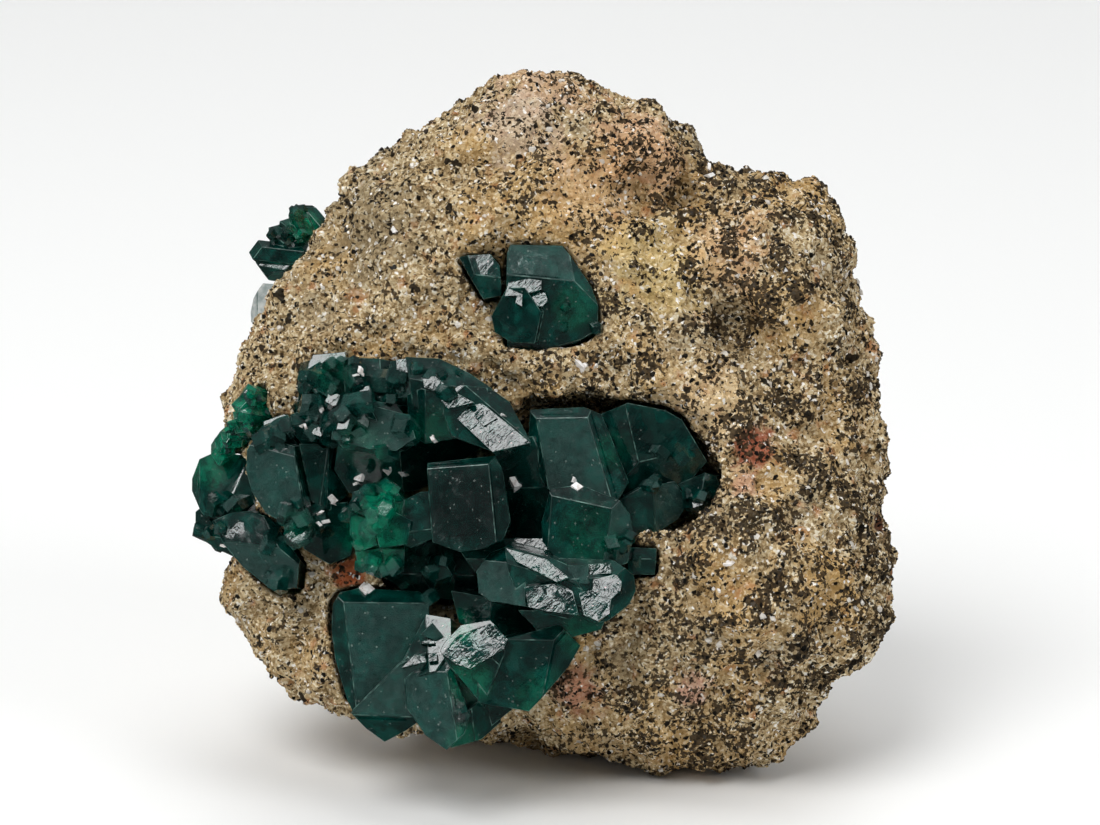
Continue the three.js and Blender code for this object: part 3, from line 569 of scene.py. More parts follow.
dark, tree = new_material("oxide_grains")
tone = add_node(tree, "ShaderNodeAttribute", attribute_name="tone").outputs["Fac"]
blacks = [(0, tint(12, 11, 9)), (0.6, tint(28, 25, 20)), (1, tint(60, 50, 38))]
shade = colour_ramp(tree, tone, blacks)
add_surface(tree, {"Base Color": shade, "Roughness": 0.45, "Specular IOR Level": STONE_GLOSS})
grains = scatter_grains("oxide_grains", OXIDE_SPACING, GRAIN_SIZE, 50, oxide_drifts, 0.24)
grains.data.materials.append(dark)

clear, tree = new_material("quartz_grains")
add_surface(tree, {
    "Base Color": tint(250, 244, 234), "Roughness": 0.2, "IOR": QUARTZ_IOR,
    "Transmission Weight": 0.35,
})
grains = scatter_grains("quartz_grains", QUARTZ_SPACING, QUARTZ_SIZE, 60, quartz_drifts, 0.1)
grains.data.materials.append(clear)


# The dioptase crystals: clear, deep green prisms that grew into each other in clusters.
# Each cluster is one piece. Growth steps lie on its faces, small crystals sit in its
# gaps, and its edges are a little worn, with a pale colour that is partly painted highlight.

EDGE_WEAR = 0.04 * MM
SHARP_EDGE = math.radians(12)
# An edge is worn only if it and the edges it meets are this many times the wear's width
LONG_ENOUGH = 4
# A drawn crystal narrows by TAPER towards its back, and SWAY is how far its sides turn
# from the line of sight towards the way its main face looks
TAPER = math.tan(math.radians(3))
SWAY = 0.5
# A growth plate is this thick, in millimetres, and twice its rise more
PLATE_DEPTH = 0.6
# Small crystals: how far the sides are from the axis, how far out the tip and the whole
# crystal stand, all as shares of its size, and the slope of the tip's faces
SPROUT_SIDES = (0.34, 0.52)
SPROUT_TIP = (0.42, 0.55)
SPROUT_OUT = (-0.15, 0.2)
TIP_SLOPE = math.radians(46)
# How many degrees each may lean its own way, and the share of its faces that have a film,
# partly painted reflection
LEAN_SPREAD = 38
FILMED_AND_REFLECTING_SHARE = 0.35
# Growth steps: the smallest face that has one, in square millimetres, how high it may be
# and how far it may keep from an edge of the face
SMALLEST_STEPPED = 2.2
STEP_RISE = (0.06, 0.14)
STEP_NARROW = (0.12, 0.3)
STEP_WIDE = (0.3, 1.6)
STEP_SEED = 100
# The way a face looks, right and up in degrees, when it mirrors the light to the camera
SHINING = (-11, 20)
DIOPTASE_IOR = 1.67
CALCITE_IOR = 1.6
DEPTH_COLOUR = (0.03, 0.80, 0.70, 1)
DEPTH_DENSITY = 520
DARK_TONE_AND_SHADE = tint(2, 36, 33)
DEEP = tint(5, 68, 62)
TEAL = tint(10, 108, 96)
PAINTED_GLOW_GREEN = tint(0, 184, 138)
VEIL = tint(110, 176, 158)
FILM_AND_REFLECTION_GREY = tint(86, 120, 114)
PALE_SPECK = tint(200, 214, 206)
BLOCK_SIZE = 1.2 * MM
BLOCK_TURN = (math.radians(20), math.radians(35), math.radians(40))
# Shrinks depth to almost nothing, so that only the place on the good face counts
FLATTENED = (1, 1000, 1)

# Painted light where light gets into the crystals, and painted shade where they are darkest:
# the middle, the radius and the strength of each
PAINTED_GLOWS = [
    ((-14.2, -10.2), 3.4, 1.0), ((-13.2, -7.2), 2.2, 0.9), ((3.2, -9.6), 3.4, 0.3),
    ((-0.4, -23.0), 3.2, 0.35), ((1.4, -23.8), 2.4, 0.6), ((-7.4, -17.2), 1.8, 0.8),
    ((-6.4, -21.4), 2.4, 0.6), ((-28.0, -4.6), 2.2, 0.7), ((-9.4, -1.2), 2.2, 0.3),
    ((-14.8, -2.6), 2.6, 0.3), ((2.0, 8.4), 2.4, 0.35), ((-20.6, 15.6), 1.8, 0.9),
    ((-17.4, 3.0), 2.2, 0.25), ((-20.2, -9.0), 1.8, 0.3), ((-1.6, -24.5), 1.8, 0.5),
    ((2.4, -17.8), 2.2, 0.4), ((5.2, -3.0), 2.0, 0.3), ((-7.0, -26.2), 1.8, 0.5),
]
PAINTED_SHADOWS = [
    ((-6.6, -7.4), 4.6, 0.9), ((7.6, -3.0), 3.4, 0.6), ((0.4, -6.0), 1.6, 0.6),
    ((3.4, -8.2), 2.6, 0.5),
]


def dioptase_material(
    name, etching, uneven, clearness=0.7, glow=0.0, film_and_reflection=0.0,
    density=DEPTH_DENSITY, absorbed=DEPTH_COLOUR,
):
    """Clear green crystal. etching roughens its faces, uneven leans the blocks that they
    are built of, glow paints light over all of it, and the film share is how much of it a
    dull grey coat covers, partly a real coat and partly painted reflection."""
    material, tree = new_material(name)
    place = add_node(tree, "ShaderNodeTexCoord").outputs["Object"]
    cloud = noise_height(tree, place, 1.6 * MM, detail=5, roughness=0.6, distortion=0.4)
    inside = noise_height(tree, place, 0.8 * MM, detail=5, roughness=0.65, distortion=0.5)
    turned = add_node(
        tree, "ShaderNodeMapping", {"Vector": place, "Rotation": BLOCK_TURN}, vector_type="TEXTURE",
    ).outputs[0]
    blocks = add_node(
        tree, "ShaderNodeTexVoronoi", {"Vector": turned, "Scale": 1 / BLOCK_SIZE}, distance="CHEBYCHEV",
    ).outputs["Color"]
    chances = add_node(tree, "ShaderNodeSeparateColor", {0: blocks}).outputs
    flattened = add_node(
        tree, "ShaderNodeMapping",
        {"Vector": place, "Location": FACE_ORIGIN, "Rotation": (-LEAN, 0, 0), "Scale": FLATTENED},
        vector_type="TEXTURE",
    ).outputs[0]
    masks = []
    for (u, v), radius, strength in [*PAINTED_GLOWS, *PAINTED_SHADOWS]:
        away = distance_between(tree, flattened, (u * MM, 0, v * MM))
        masks.append(ramp_up(tree, away, radius * MM, 0.4 * radius * MM, 0, strength))
    # Painted light: the glow all over and the glow patches mix the colour towards bright green
    lit = glow
    for mask in masks[:len(PAINTED_GLOWS)]:
        lit = math_node(tree, "MAXIMUM", lit, mask)
    teal = mix_colour(tree, ramp_up(tree, cloud, 0.44, 0.6), DEEP, TEAL)
    teal = mix_colour(tree, ramp_up(tree, chances[0], 0.1, 0.9, 0, 0.5), teal, DARK_TONE_AND_SHADE)
    bright = math_node(tree, "MULTIPLY", lit, ramp_up(tree, inside, 0.38, 0.58, 0.25, 1))
    base = mix_colour(tree, bright, teal, PAINTED_GLOW_GREEN)
    # Painted shade where the crystals look darkest
    for mask in masks[len(PAINTED_GLOWS):]:
        base = mix_colour(tree, mask, base, DARK_TONE_AND_SHADE)
    veil = noise_height(tree, place, 1.2 * MM, detail=6, roughness=0.75, distortion=1.2)
    base = mix_colour(tree, ramp_up(tree, veil, 0.6, 0.68, 0, 0.12), base, VEIL)
    # A dull grey film, partly real and partly painted reflection
    if film_and_reflection:
        film_and_reflection_noise = noise_height(tree, place, 0.5 * MM, detail=5, roughness=0.7)
        film_and_reflection_mask = ramp_up(tree, film_and_reflection_noise, 0.36, 0.64, 0.6 * film_and_reflection, 1.3 * film_and_reflection)
        base = mix_colour(tree, film_and_reflection_mask, base, FILM_AND_REFLECTION_GREY)
    # Pale specks scattered over the faces at random
    pale_specks = cell_chances(tree, place, 0.12 * MM)[1]
    base = mix_colour(tree, ramp_up(tree, pale_specks, 0.99, 0.995, 0, 0.5), base, PALE_SPECK)
    stretched = add_node(
        tree, "ShaderNodeMapping",
        {"Vector": place, "Rotation": (0, math.radians(40), 0), "Scale": (1, 1, 9)},
        vector_type="TEXTURE",
    ).outputs[0]
    growth = noise_height(tree, stretched, 0.26 * MM, detail=2)
    waves = noise_height(tree, place, 2.4 * MM, detail=1)
    grain = noise_height(tree, place, 0.2 * MM, detail=1)
    relief = math_node(tree, "MULTIPLY_ADD", waves, 2.4, growth)
    relief = math_node(tree, "MULTIPLY_ADD", grain, 0.4, relief)
    facing = add_node(tree, "ShaderNodeNewGeometry").outputs["Normal"]
    leant = blocks
    for operation, inputs in (
        ("SUBTRACT", {1: (0.5, 0.5, 0.5)}),
        ("SCALE", {"Scale": uneven}),
        ("ADD", {1: facing}),
        ("NORMALIZE", {}),
    ):
        step = add_node(tree, "ShaderNodeVectorMath", {0: leant, **inputs}, operation=operation)
        leant = step.outputs[0]
    bump = add_node(
        tree, "ShaderNodeBump",
        {"Height": relief, "Distance": etching, "Strength": 0.7, "Normal": leant},
    )
    rough = ramp_up(tree, inside, 0.4, 0.7, 0.05, 0.24)
    body = add_node(
        tree, "ShaderNodeBsdfPrincipled",
        {"Base Color": base, "Roughness": rough, "IOR": DIOPTASE_IOR,
         "Transmission Weight": clearness, "Normal": bump.outputs[0]},
    )
    depth = add_node(tree, "ShaderNodeVolumeAbsorption", {"Color": absorbed, "Density": density})
    add_node(
        tree, "ShaderNodeOutputMaterial",
        {"Surface": body.outputs[0], "Volume": depth.outputs[0]},
    )
    return material


dioptase = dioptase_material("dioptase", 0.02 * MM, 0.1)
# A clearer, greener dioptase, with painted light over all of it
dioptase_bright = dioptase_material(
    "dioptase_bright", 0.04 * MM, 0.1, clearness=0.6, glow=0.8,
    density=420, absorbed=(0.02, 0.88, 0.72, 1),
)
etched = dioptase_material("etched_dioptase", 0.1 * MM, 0.2)
# Faces with a dull grey film that is partly painted reflection
frosted_and_reflecting = dioptase_material("frosted_dioptase_painted_reflection", 0.02 * MM, 0.04, clearness=0.6, film_and_reflection=0.46)

# The worn edges' pale colour: partly wear and partly painted highlight
worn_and_highlit, tree = new_material("worn_edges_and_painted_highlight")
place = add_node(tree, "ShaderNodeTexCoord").outputs["Object"]
patchy = noise_height(tree, place, 0.8 * MM, detail=3)
shade = mix_colour(tree, ramp_up(tree, patchy, 0.46, 0.66), tint(8, 66, 58), tint(126, 180, 166))
add_surface(
    tree, {"Base Color": shade, "Roughness": 0.4, "IOR": DIOPTASE_IOR, "Transmission Weight": 0.6},
)

calcite, tree = new_material("calcite")
place = add_node(tree, "ShaderNodeTexCoord").outputs["Object"]
cloudy = noise_height(tree, place, 0.9 * MM, detail=3)
shade = mix_colour(tree, ramp_up(tree, cloudy, 0.35, 0.7), tint(170, 184, 182), tint(244, 246, 242))
cleavage = noise_height(tree, place, 0.3 * MM, detail=2)
bump = add_node(tree, "ShaderNodeBump", {"Height": cleavage, "Distance": 0.05 * MM, "Strength": 0.6})
add_surface(tree, {
    "Base Color": shade, "Roughness": 0.25, "IOR": CALCITE_IOR, "Transmission Weight": 0.45,
    "Normal": bump.outputs[0],
})
CRYSTAL_MATERIALS = [dioptase, worn_and_highlit, etched, frosted_and_reflecting]
PLAIN, WORN_AND_HIGHLIT, ETCHED, FROSTED_AND_REFLECTING = range(4)


def wear_edges(piece, width):
    """Bevels the outer edges, as edges rounded by wear in a pale finish that is partly
    painted highlight, save where an edge close by is too short.
    """
    work_on(piece)
    lengths = {}
    for edge in piece.data.edges:
        start, end = (piece.data.vertices[i].co for i in edge.vertices)
        for i in edge.vertices:
            lengths[i] = min(lengths.get(i, 1.0), (end - start).length)
    bpy.ops.object.mode_set(mode="EDIT")
    bpy.ops.mesh.select_mode(type="EDGE")
    bpy.ops.mesh.select_all(action="DESELECT")
    bpy.ops.mesh.edges_select_sharp(sharpness=SHARP_EDGE)
    bpy.ops.object.mode_set(mode="OBJECT")
    faces_of = {}
    for face in piece.data.polygons:
        for key in face.edge_keys:
            faces_of.setdefault(key, []).append(face)
    for edge in piece.data.edges:
        start, end = (piece.data.vertices[i].co for i in edge.vertices)
        pair = faces_of.get(tuple(sorted(edge.vertices)), [])
        outer = len(pair) == 2 and (pair[1].center - start).dot(pair[0].normal) < 0
        if not outer or min(lengths[i] for i in edge.vertices) < LONG_ENOUGH * width:
            edge.select = False
    bpy.ops.object.mode_set(mode="EDIT")
    bpy.ops.mesh.bevel(offset=width, segments=1, material=WORN_AND_HIGHLIT, clamp_overlap=False)
    bpy.ops.object.mode_set(mode="OBJECT")


def cut_solid(middle, reach, planes):
    """A closed solid around middle, cut out of a cube by planes of a point and a normal."""
    bpy.ops.object.select_all(action="DESELECT")
    bpy.ops.mesh.primitive_cube_add(size=2 * reach, location=middle)
    piece = bpy.context.object
    bpy.ops.object.transform_apply(location=True)
    bpy.ops.object.mode_set(mode="EDIT")
    for point, normal in planes:
        bpy.ops.mesh.select_all(action="SELECT")
        bpy.ops.mesh.bisect(plane_co=point, plane_no=normal, use_fill=True, clear_outer=True)
    bpy.ops.mesh.select_all(action="SELECT")
    bpy.ops.mesh.normals_make_consistent(inside=False)
    bpy.ops.object.mode_set(mode="OBJECT")
    for material in CRYSTAL_MATERIALS:
        piece.data.materials.append(material)
    return piece


def drawn_crystal(outline, front, look, depth):
    """A crystal as it is seen from the front: its outline, the height of its main face,
    how far that face turns right and up in degrees, and its thickness."""
    narrowed = 1 - front / EYE_DISTANCE
    ring = [Vector((u * narrowed, v * narrowed, front)) for u, v in outline]
    middle = sum(ring, Vector()) / len(ring)
    facing = Vector((math.tan(math.radians(look[0])), math.tan(math.radians(look[1])), 1)).normalized()
    planes = [(middle, facing), (middle - depth * facing, -facing)]
    for point, following in zip(ring, ring[1:] + ring[:1]):
        flank = (Vector((0, 0, EYE_DISTANCE)) - point).normalized().lerp(facing, SWAY)
        outwards = (following - point).cross(flank).normalized()
        if outwards.dot(point - middle) < 0:
            outwards.negate()
        outwards.z -= TAPER
        planes.append((point, outwards))
    placed = [(on_face(*point), face_direction(*normal).normalized()) for point, normal in planes]
    reach = max((point - middle).length for point in ring) + depth
    return cut_solid(on_face(*middle), 1.5 * reach * MM, placed)


def join_to(cluster, other):
    """Joins another closed solid to a cluster, and takes it away."""
    other.data.materials[0] = cluster.data.materials[0]
    work_on(cluster)
    join = cluster.modifiers.new("join", "BOOLEAN")
    join.operation = "UNION"
    join.solver = "MANIFOLD"
    join.object = other
    bpy.ops.object.modifier_apply(modifier=join.name)
    bpy.data.objects.remove(other)


def add_plate(cluster, outline, look, rise, finish):
    """A growth plate that stands a little off the face it lies on."""
    middle = sum((Vector(point) for point in outline), Vector((0, 0))) / len(outline)
    front = (seen_at(cluster, *middle) - FACE_ORIGIN).dot(FACE_OUT) / MM + rise
    plate = drawn_crystal(outline, front, look, PLATE_DEPTH + 2 * rise)
    facing = max(plate.data.polygons, key=lambda face: face.normal.dot(FACE_OUT))
    facing.material_index = finish
    wear_edges(plate, 0.7 * EDGE_WEAR)
    join_to(cluster, plate)


def small_crystal(base, axis, size, draw):
    """A stubby crystal along axis: six sides, and a blunt tip of three faces."""
    side = axis.orthogonal().normalized()
    over = axis.cross(side)
    spin = draw.uniform(0, math.tau)
    planes = [(base - size * axis, -axis)]
    for number in range(6):
        turn = spin + number * math.tau / 6
        outwards = side * math.cos(turn) + over * math.sin(turn)
        planes.append((base + size * draw.uniform(*SPROUT_SIDES) * outwards, outwards))
    for number in range(3):
        turn = spin + (number + 0.25) * math.tau / 3
        outwards = side * math.cos(turn) + over * math.sin(turn)
        top = base + size * draw.uniform(*SPROUT_TIP) * axis
        planes.append((top, axis * math.cos(TIP_SLOPE) + outwards * math.sin(TIP_SLOPE)))
    crystal = cut_solid(base, 1.2 * size, planes)
    for face in crystal.data.polygons:
        face.material_index = FROSTED_AND_REFLECTING if draw.random() < FILMED_AND_REFLECTING_SHARE else PLAIN
    return crystal


def add_sprouts(cluster, middle, radius, count, sizes, lean, seed):
    """Small crystals that grow out of a patch of a cluster, each its own way."""
    draw = random.Random(seed)
    for _ in range(count):
        away = radius * math.sqrt(draw.random())
        heading = draw.uniform(0, math.tau)
        u = middle[0] + away * math.cos(heading)
        v = middle[1] + away * math.sin(heading)
        size = draw.uniform(*sizes) * MM
        turns = (angle + draw.uniform(-LEAN_SPREAD, LEAN_SPREAD) for angle in lean)
        right, up = (math.tan(math.radians(turn)) for turn in turns)
        axis = face_direction(right, up, 1).normalized()
        base = seen_at(cluster, u, v) + draw.uniform(*SPROUT_OUT) * size * axis
        join_to(cluster, small_crystal(base, axis, size, draw))


def add_steps(cluster, seed):
    """Low growth steps on the larger faces of a cluster, with edges along theirs."""
    draw = random.Random(seed)
    steps = []
    for face in cluster.data.polygons:
        corners = [cluster.data.vertices[i].co.copy() for i in face.vertices]
        sides = list(zip(corners, corners[1:] + corners[:1]))
        pairs = zip(sides, sides[1:] + sides[:1])
        turns = [(b - a).cross(d - c).dot(face.normal) for (a, b), (c, d) in pairs]
        large = face.area > SMALLEST_STEPPED * MM**2
        outer = large and face.normal.dot(FACE_OUT) > 0.1 and min(turns) > 0
        if outer and face.material_index != ETCHED:
            steps.append((face.normal.copy(), face.center.copy(), sides, face.material_index))
    for normal, centre, sides, finish in steps:
        rise = draw.uniform(*STEP_RISE) * MM
        planes = [(centre + rise * normal, normal), (centre - 0.4 * MM * normal, -normal)]
        wide = draw.uniform(*STEP_WIDE)
        for start, end in sides:
            outwards = (end - start).cross(normal).normalized()
            inset = draw.choice((*STEP_NARROW, wide)) * MM
            planes.append((start - inset * outwards, outwards))
        step = cut_solid(centre, 12 * MM, planes)
        for polygon in step.data.polygons:
            polygon.material_index = finish
        if len(step.data.polygons) >= 5:
            join_to(cluster, step)
        else:
            bpy.data.objects.remove(step)


def crystal_piece(node, name, material):
    """A cluster as it grew, before its plates, small crystals and steps are joined to it."""
    piece = solid_copy(node, name)
    for index, usual in enumerate(CRYSTAL_MATERIALS):
        piece.data.materials.append(usual if index else material)
    bpy.ops.object.mode_set(mode="EDIT")
    bpy.ops.mesh.select_all(action="SELECT")
    bpy.ops.mesh.dissolve_limited(angle_limit=math.radians(1))
    bpy.ops.object.mode_set(mode="OBJECT")
    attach(piece, "root")
    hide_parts(node)
    return piece


# Where the faces with a dull film, partly painted reflection, are seen
FILMED_AND_REFLECTING = {
    "crystals_main": [
        (-14.6, -20.6), (-12.5, -24.8), (-8.8, -24.8), (1.2, -3.5), (-15.0, -1.5), (6.0, -9.8),
        (-4.2, -14.0), (10.0, -7.6),
    ],
    "crystals_left": [(-22.9, -5.5)],
    "crystals_left_edge": [(-24.6, -12.3)],
    "crystal_top_large": [(-0.8, 13.1)],
}
clusters = {}
for node, material, slot in [
    ("crystals_main", dioptase, "dioptase"),
    ("crystals_left", dioptase, "dioptase"),
    ("crystals_left_edge", dioptase, "dioptase"),
    ("crystal_top_large", dioptase, "dioptase"),
    ("crystal_top_small", dioptase, "dioptase"),
    ("crystals_edge", dioptase, "dioptase_bright"),
    ("druse_band", dioptase_bright, "dioptase_bright"),
    ("pale_blade", calcite, "calcite"),
]:
    clusters[node] = crystal_piece(node, node + "_grown", material)
    for u, v in FILMED_AND_REFLECTING.get(node, []):
        hit, _, _, index = clusters[node].ray_cast(EYE, sight_to(u, v))
        if hit:
            clusters[node].data.polygons[index].material_index = FROSTED_AND_REFLECTING
    wear_edges(clusters[node], EDGE_WEAR)

# Growth plates: the cluster, the finish, the way each looks, how far it stands out and
# its outline
PLATES = [
    ("crystals_left", PLAIN, (8, -14), 0.3,
     [(-24.0, -7.7), (-20.8, -7.7), (-19.3, -11.0), (-20.8, -14.4), (-22.5, -12.3), (-24.0, -9.8)]),
    ("crystals_left", FROSTED_AND_REFLECTING, (-24, 4), 0.3,
     [(-23.8, -1.1), (-22.9, -0.5), (-21.8, -0.2), (-21.2, -1.6), (-22.2, -2.7), (-23.9, -2.5)]),
    ("crystals_main", PLAIN, (0, 10), 0.9,
     [(-16.5, -6.6), (-14.8, -6.2), (-13.2, -6.6), (-12.9, -8.3), (-14.8, -9.0), (-16.5, -8.1)]),
    ("crystals_main", PLAIN, (-22, -6), 1.0,
     [(-16.7, -8.3), (-14.8, -9.0), (-14.3, -11.0), (-15.8, -11.6), (-16.8, -10.2)]),
    ("crystals_main", PLAIN, (16, -4), 1.2,
     [(-14.8, -9.0), (-12.9, -8.3), (-11.5, -9.0), (-11.8, -11.0), (-14.2, -11.3)]),
    ("crystals_main", PLAIN, (-6, -18), 1.0,
     [(-16.2, -11.6), (-14.2, -11.3), (-12.1, -11.3), (-12.2, -13.3), (-14.2, -14.0), (-16.0, -13.1)]),
    ("crystals_main", PLAIN, (2, -10), 0.3,
     [(-20.4, -3.5), (-16.7, -3.5), (-16.2, -7.3), (-16.7, -12.3), (-18.3, -13.1), (-20.2, -10.6)]),
    ("crystals_main", FROSTED_AND_REFLECTING, (-16, 8), 0.3,
     [(-18.2, -0.3), (-16.9, 0.9), (-15.8, 0.9), (-11.7, -0.3), (-11.1, -2.2), (-12.7, -3.2),
      (-15.2, -3.0), (-18.4, -2.2)]),
    ("crystals_main", ETCHED, SHINING, 0.5,
     [(-10.7, 3.0), (-9.6, 3.1), (-8.5, 2.1), (-9.3, 1.6), (-10.5, 2.1)]),
    ("crystals_main", ETCHED, (-8, 15), 0.5, [(-9.1, 1.0), (-8.2, 1.9), (-6.3, 0.8), (-8.5, 0.3)]),
    ("crystals_main", ETCHED, SHINING, 1.0, [(-8.6, 0.3), (-5.75, 1.0), (-1.6, -2.7), (-4.7, -3.4)]),
    ("crystals_main", ETCHED, (-11, 22), 0.15, [(-6.3, -0.3), (-5.2, 0.2), (-4.4, -0.5), (-5.5, -1.2)]),
    ("crystals_main", ETCHED, (-10, 14), 0.8,
     [(-2.8, -12.4), (0.6, -14.2), (1.7, -14.1), (2.4, -16.9), (-0.2, -16.6), (-1.8, -16.2)]),
    ("crystals_main", ETCHED, SHINING, 0.7,
     [(-4.0, -11.0), (-0.3, -12.2), (1.6, -13.9), (0.6, -14.2), (-2.8, -12.4)]),
    ("crystals_main", FROSTED_AND_REFLECTING, (-6, 8), 0.3, [(1.5, -12.7), (3.2, -12.7), (3.2, -14.3), (1.5, -14.2)]),
    ("crystals_main", ETCHED, (-4, 18), 0.4, [(3.2, -12.6), (5.1, -12.5), (5.1, -13.4), (3.2, -13.6)]),
    ("crystals_main", ETCHED, (-10, 16), 0.6,
     [(2.3, -14.9), (3.5, -14.7), (5.1, -15.5), (5.0, -16.8), (4.0, -17.4), (2.8, -16.9)]),
    ("crystals_main", ETCHED, SHINING, 0.6,
     [(3.5, -13.8), (5.5, -13.4), (6.0, -14.1), (5.9, -14.9), (5.1, -15.6), (3.5, -15.2)]),
    ("crystals_main", ETCHED, (-8, 15), 0.5,
     [(-7.8, -18.5), (-5.0, -17.5), (-3.5, -18.9), (-3.8, -19.7), (-6.6, -21.4), (-7.8, -21.0),
      (-9.0, -20.1)]),
    ("crystals_main", ETCHED, (-10, 22), 0.5,
     [(-12.4, -21.3), (-11.3, -20.1), (-10.4, -20.3), (-10.3, -20.8)]),
    ("crystals_main", ETCHED, (-6, 20), 0.5,
     [(-10.2, -20.0), (-9.4, -20.0), (-9.4, -20.7), (-10.1, -20.8)]),
    ("crystals_main", ETCHED, (-6, 24), 0.4,
     [(-10.8, -19.0), (-9.6, -19.0), (-9.6, -19.3), (-10.8, -19.3)]),
    ("crystals_main", FROSTED_AND_REFLECTING, (8, -8), 0.4,
     [(-10.8, -18.5), (-9.8, -17.5), (-8.8, -18.7), (-9.4, -19.1)]),
    ("crystals_main", ETCHED, SHINING, 0.3, [(-15.8, 0.9), (-15.3, 1.1), (-14.4, -0.7), (-15.2, -0.4)]),
    ("crystals_main", FROSTED_AND_REFLECTING, (-4, 22), 0.3, [(-16.4, 4.1), (-15.7, 4.1), (-15.7, 2.4), (-16.4, 2.5)]),
    ("crystals_main", ETCHED, SHINING, 0.3, [(-12.9, 4.5), (-11.6, 4.6), (-11.6, 3.1), (-12.7, 3.0)]),
    ("crystals_main", FROSTED_AND_REFLECTING, (-4, 8), 0.3, [(-12.7, 3.0), (-10.6, 2.4), (-10.6, 1.4), (-12.7, 1.2)]),
    ("crystal_top_large", ETCHED, SHINING, 0.35,
     [(-3.4, 11.5), (-0.7, 11.0), (-0.7, 10.2), (-2.4, 9.7), (-3.8, 9.7)]),
    ("crystal_top_large", ETCHED, SHINING, 0.6,
     [(-1.7, 9.9), (-1.1, 10.2), (-0.4, 10.0), (-0.15, 9.3), (-0.6, 8.8), (-1.4, 8.8), (-1.7, 9.2)]),
    ("crystal_top_large", ETCHED, SHINING, 0.5, [(-2.8, 9.8), (-2.3, 9.8), (-2.3, 8.8), (-2.9, 9.1)]),
]
for node, finish, look, rise, outline in PLATES:
    add_plate(clusters[node], outline, look, rise, finish)

# Patches of small crystals: the cluster, the patch's middle and radius, how many, how
# large and which way they look
SPROUTS = [
    ("crystals_main", (-18.6, 1.6), 2.4, 14, (1.2, 2.4), (-14, 14)),
    ("crystals_main", (-17.2, 3.8), 1.6, 6, (1.0, 2.0), (-8, 26)),
    ("crystals_main", (-14.6, 2.6), 2.2, 10, (1.0, 2.2), (0, 18)),
    ("crystals_main", (-14.6, -1.0), 2.6, 9, (1.2, 2.4), (-4, 6)),
    ("crystals_main", (-19.4, -2.6), 1.8, 7, (1.0, 2.0), (-12, 0)),
    ("crystals_main", (-14.6, -7.8), 1.8, 7, (1.0, 2.0), (-8, 4)),
    ("crystals_main", (-14.4, -11.6), 1.8, 7, (1.0, 2.0), (-4, -6)),
    ("crystals_main", (-18.2, -8.6), 2.4, 10, (0.8, 1.8), (-4, -6)),
    ("crystals_main", (-13.0, -4.6), 2.2, 7, (0.6, 1.4), (0, -6)),
    ("crystals_main", (-10.0, -13.5), 2.6, 8, (0.8, 1.6), (0, 0)),
    ("crystals_main", (-9.4, 2.8), 2.4, 6, (0.8, 1.6), (-4, 24)),
    ("crystals_main", (6.4, -11.2), 1.6, 5, (0.8, 1.6), (6, 4)),
    ("crystals_main", (9.6, -4.4), 2.4, 5, (1.0, 2.2), (4, 0)),
    ("crystals_main", (12.0, -7.0), 1.4, 4, (1.0, 1.8), (10, -4)),
    ("crystals_left", (-20.8, -9.4), 2.0, 9, (1.0, 2.0), (2, -8)),
    ("crystals_left", (-22.5, -2.6), 1.8, 6, (1.0, 2.0), (-10, 12)),
    ("crystals_left", (-21.4, -11.6), 1.2, 5, (1.0, 2.0), (2, -10)),
    ("crystals_left_edge", (-23.4, -12.4), 2.4, 9, (0.9, 1.8), (4, -8)),
    ("crystals_left_edge", (-27.0, -7.0), 2.0, 6, (0.9, 2.0), (-14, 4)),
    ("crystals_left_edge", (-28.2, -10.6), 1.4, 5, (0.9, 1.6), (-20, -10)),
    ("druse_band", (-24.6, 0.2), 1.6, 14, (0.5, 1.0), (-10, 20)),
    ("druse_band", (-26.6, -2.4), 1.8, 18, (0.5, 1.0), (-14, 10)),
    ("crystals_edge", (-21.8, 15.6), 2.0, 16, (0.5, 1.1), (-20, 20)),
    ("crystal_top_large", (2.4, 7.6), 1.6, 4, (0.7, 1.4), (10, -4)),
]
for number, (node, middle, radius, count, sizes, lean) in enumerate(SPROUTS):
    add_sprouts(clusters[node], middle, radius, count, sizes, lean, number)

STEPPED = ["crystals_main", "crystals_left", "crystals_left_edge", "crystal_top_large"]
for number, node in enumerate(STEPPED):
    add_steps(clusters[node], STEP_SEED + number)


# Chips of white calcite, lodged between the crystals and in the stone. They are one
# piece here, because they are small. CHIPS has each place and the size of the chips there.

CHIPS = [
    ((-18.9, 0.5), 0.8), ((-20.4, -1.2), 0.9), ((-18.2, -7.5), 1.1), ((-19.2, -8.4), 0.7),
    ((-18.9, -9.5), 1.1), ((-15.9, -5.7), 1.2), ((-13.5, -4.9), 0.8), ((-12.2, -4.9), 0.9),
    ((-9.7, -2.0), 1.0), ((-16.0, 3.2), 1.1), ((-14.8, -14.4), 1.9), ((-2.8, -6.3), 1.4),
    ((-3.3, -9.8), 0.6), ((-3.9, -0.2), 0.6), ((2.2, -5.8), 1.2), ((-27.2, -11.1), 0.6),
    ((2.3, 3.5), 1.6), ((13.5, 19.9), 1.4), ((5.6, 21.4), 0.8), ((14.0, -15.0), 1.0),
    ((14.8, -12.3), 1.2), ((17.2, 14.4), 0.8), ((19.4, 11.8), 0.8), ((-12.9, 15.0), 0.9),
]
CHIPS_TOGETHER = 2
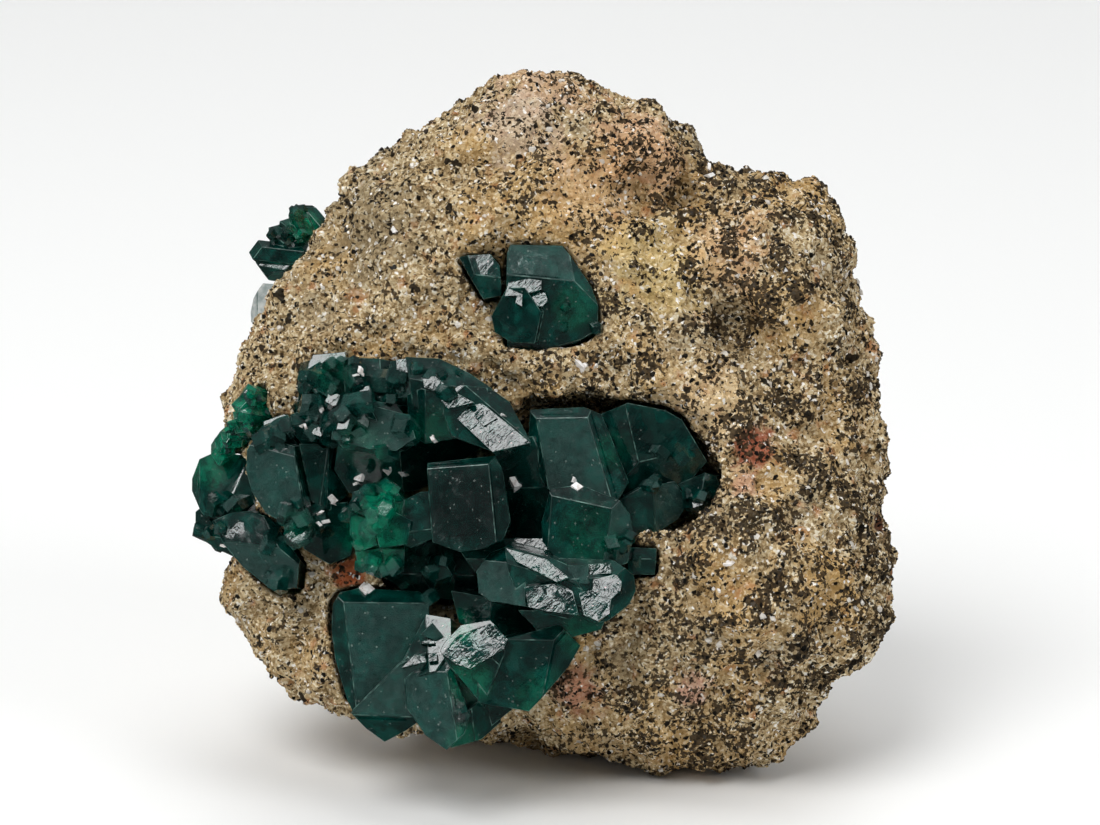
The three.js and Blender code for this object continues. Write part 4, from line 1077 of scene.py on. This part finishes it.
# How far a chip may lie from its place, and how wide it may be, as shares of its size
CHIP_STRAY = 0.35
CHIP_WIDTH = (0.35, 0.75)
# The sides of a cleavage block are this much out of square
CHIP_SKEW = 0.3
# About half its thickness, breadth and length, as shares of that width
CHIP_SHAPE = (0.2, 0.4, 0.55)
CHIP_SEED = 7


def in_front_at(u, v):
    """The foremost place of the stone and the crystals that is seen at u, v."""
    hits = [carrier.ray_cast(EYE, sight_to(u, v)) for carrier in [stone, *clusters.values()]]
    places = [hit[1] for hit in hits if hit[0]]
    return min(places, key=lambda place: (place - EYE).length) if places else None


draw = random.Random(CHIP_SEED)
chips = []
for (u, v), size in CHIPS:
    for _ in range(CHIPS_TOGETHER):
        aside = CHIP_STRAY * size * draw.uniform(-1, 1)
        along = CHIP_STRAY * size * draw.uniform(-1, 1)
        place = in_front_at(u + aside, v + along)
        if not place:
            continue
        width = draw.uniform(*CHIP_WIDTH) * size * MM
        first = face_direction(*(draw.gauss(0, 1) for _ in range(3))).normalized()
        second = (first.orthogonal().normalized() + CHIP_SKEW * first).normalized()
        third = (first.cross(second) + CHIP_SKEW * second).normalized()
        planes = []
        for outwards, reach in zip((first, second, third), CHIP_SHAPE):
            offset = draw.uniform(0.7, 1.1) * reach * width * outwards
            planes += [(place + offset, outwards), (place - offset, -outwards)]
        chips.append(cut_solid(place, width, planes))
bpy.ops.object.select_all(action="DESELECT")
for chip in chips:
    chip.select_set(True)
bpy.context.view_layer.objects.active = chips[0]
bpy.ops.object.join()
chips = bpy.context.object
chips.name = "calcite_chips"
chips.data.materials.clear()
white, tree = new_material("white_calcite")
place = add_node(tree, "ShaderNodeTexCoord").outputs["Object"]
cloudy = noise_height(tree, place, 0.4 * MM, detail=3)
shade = mix_colour(tree, ramp_up(tree, cloudy, 0.3, 0.6), tint(214, 206, 200), tint(253, 252, 250))
add_surface(tree, {"Base Color": shade, "Roughness": 0.3, "IOR": CALCITE_IOR})
chips.data.materials.append(white)
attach(chips, "root")
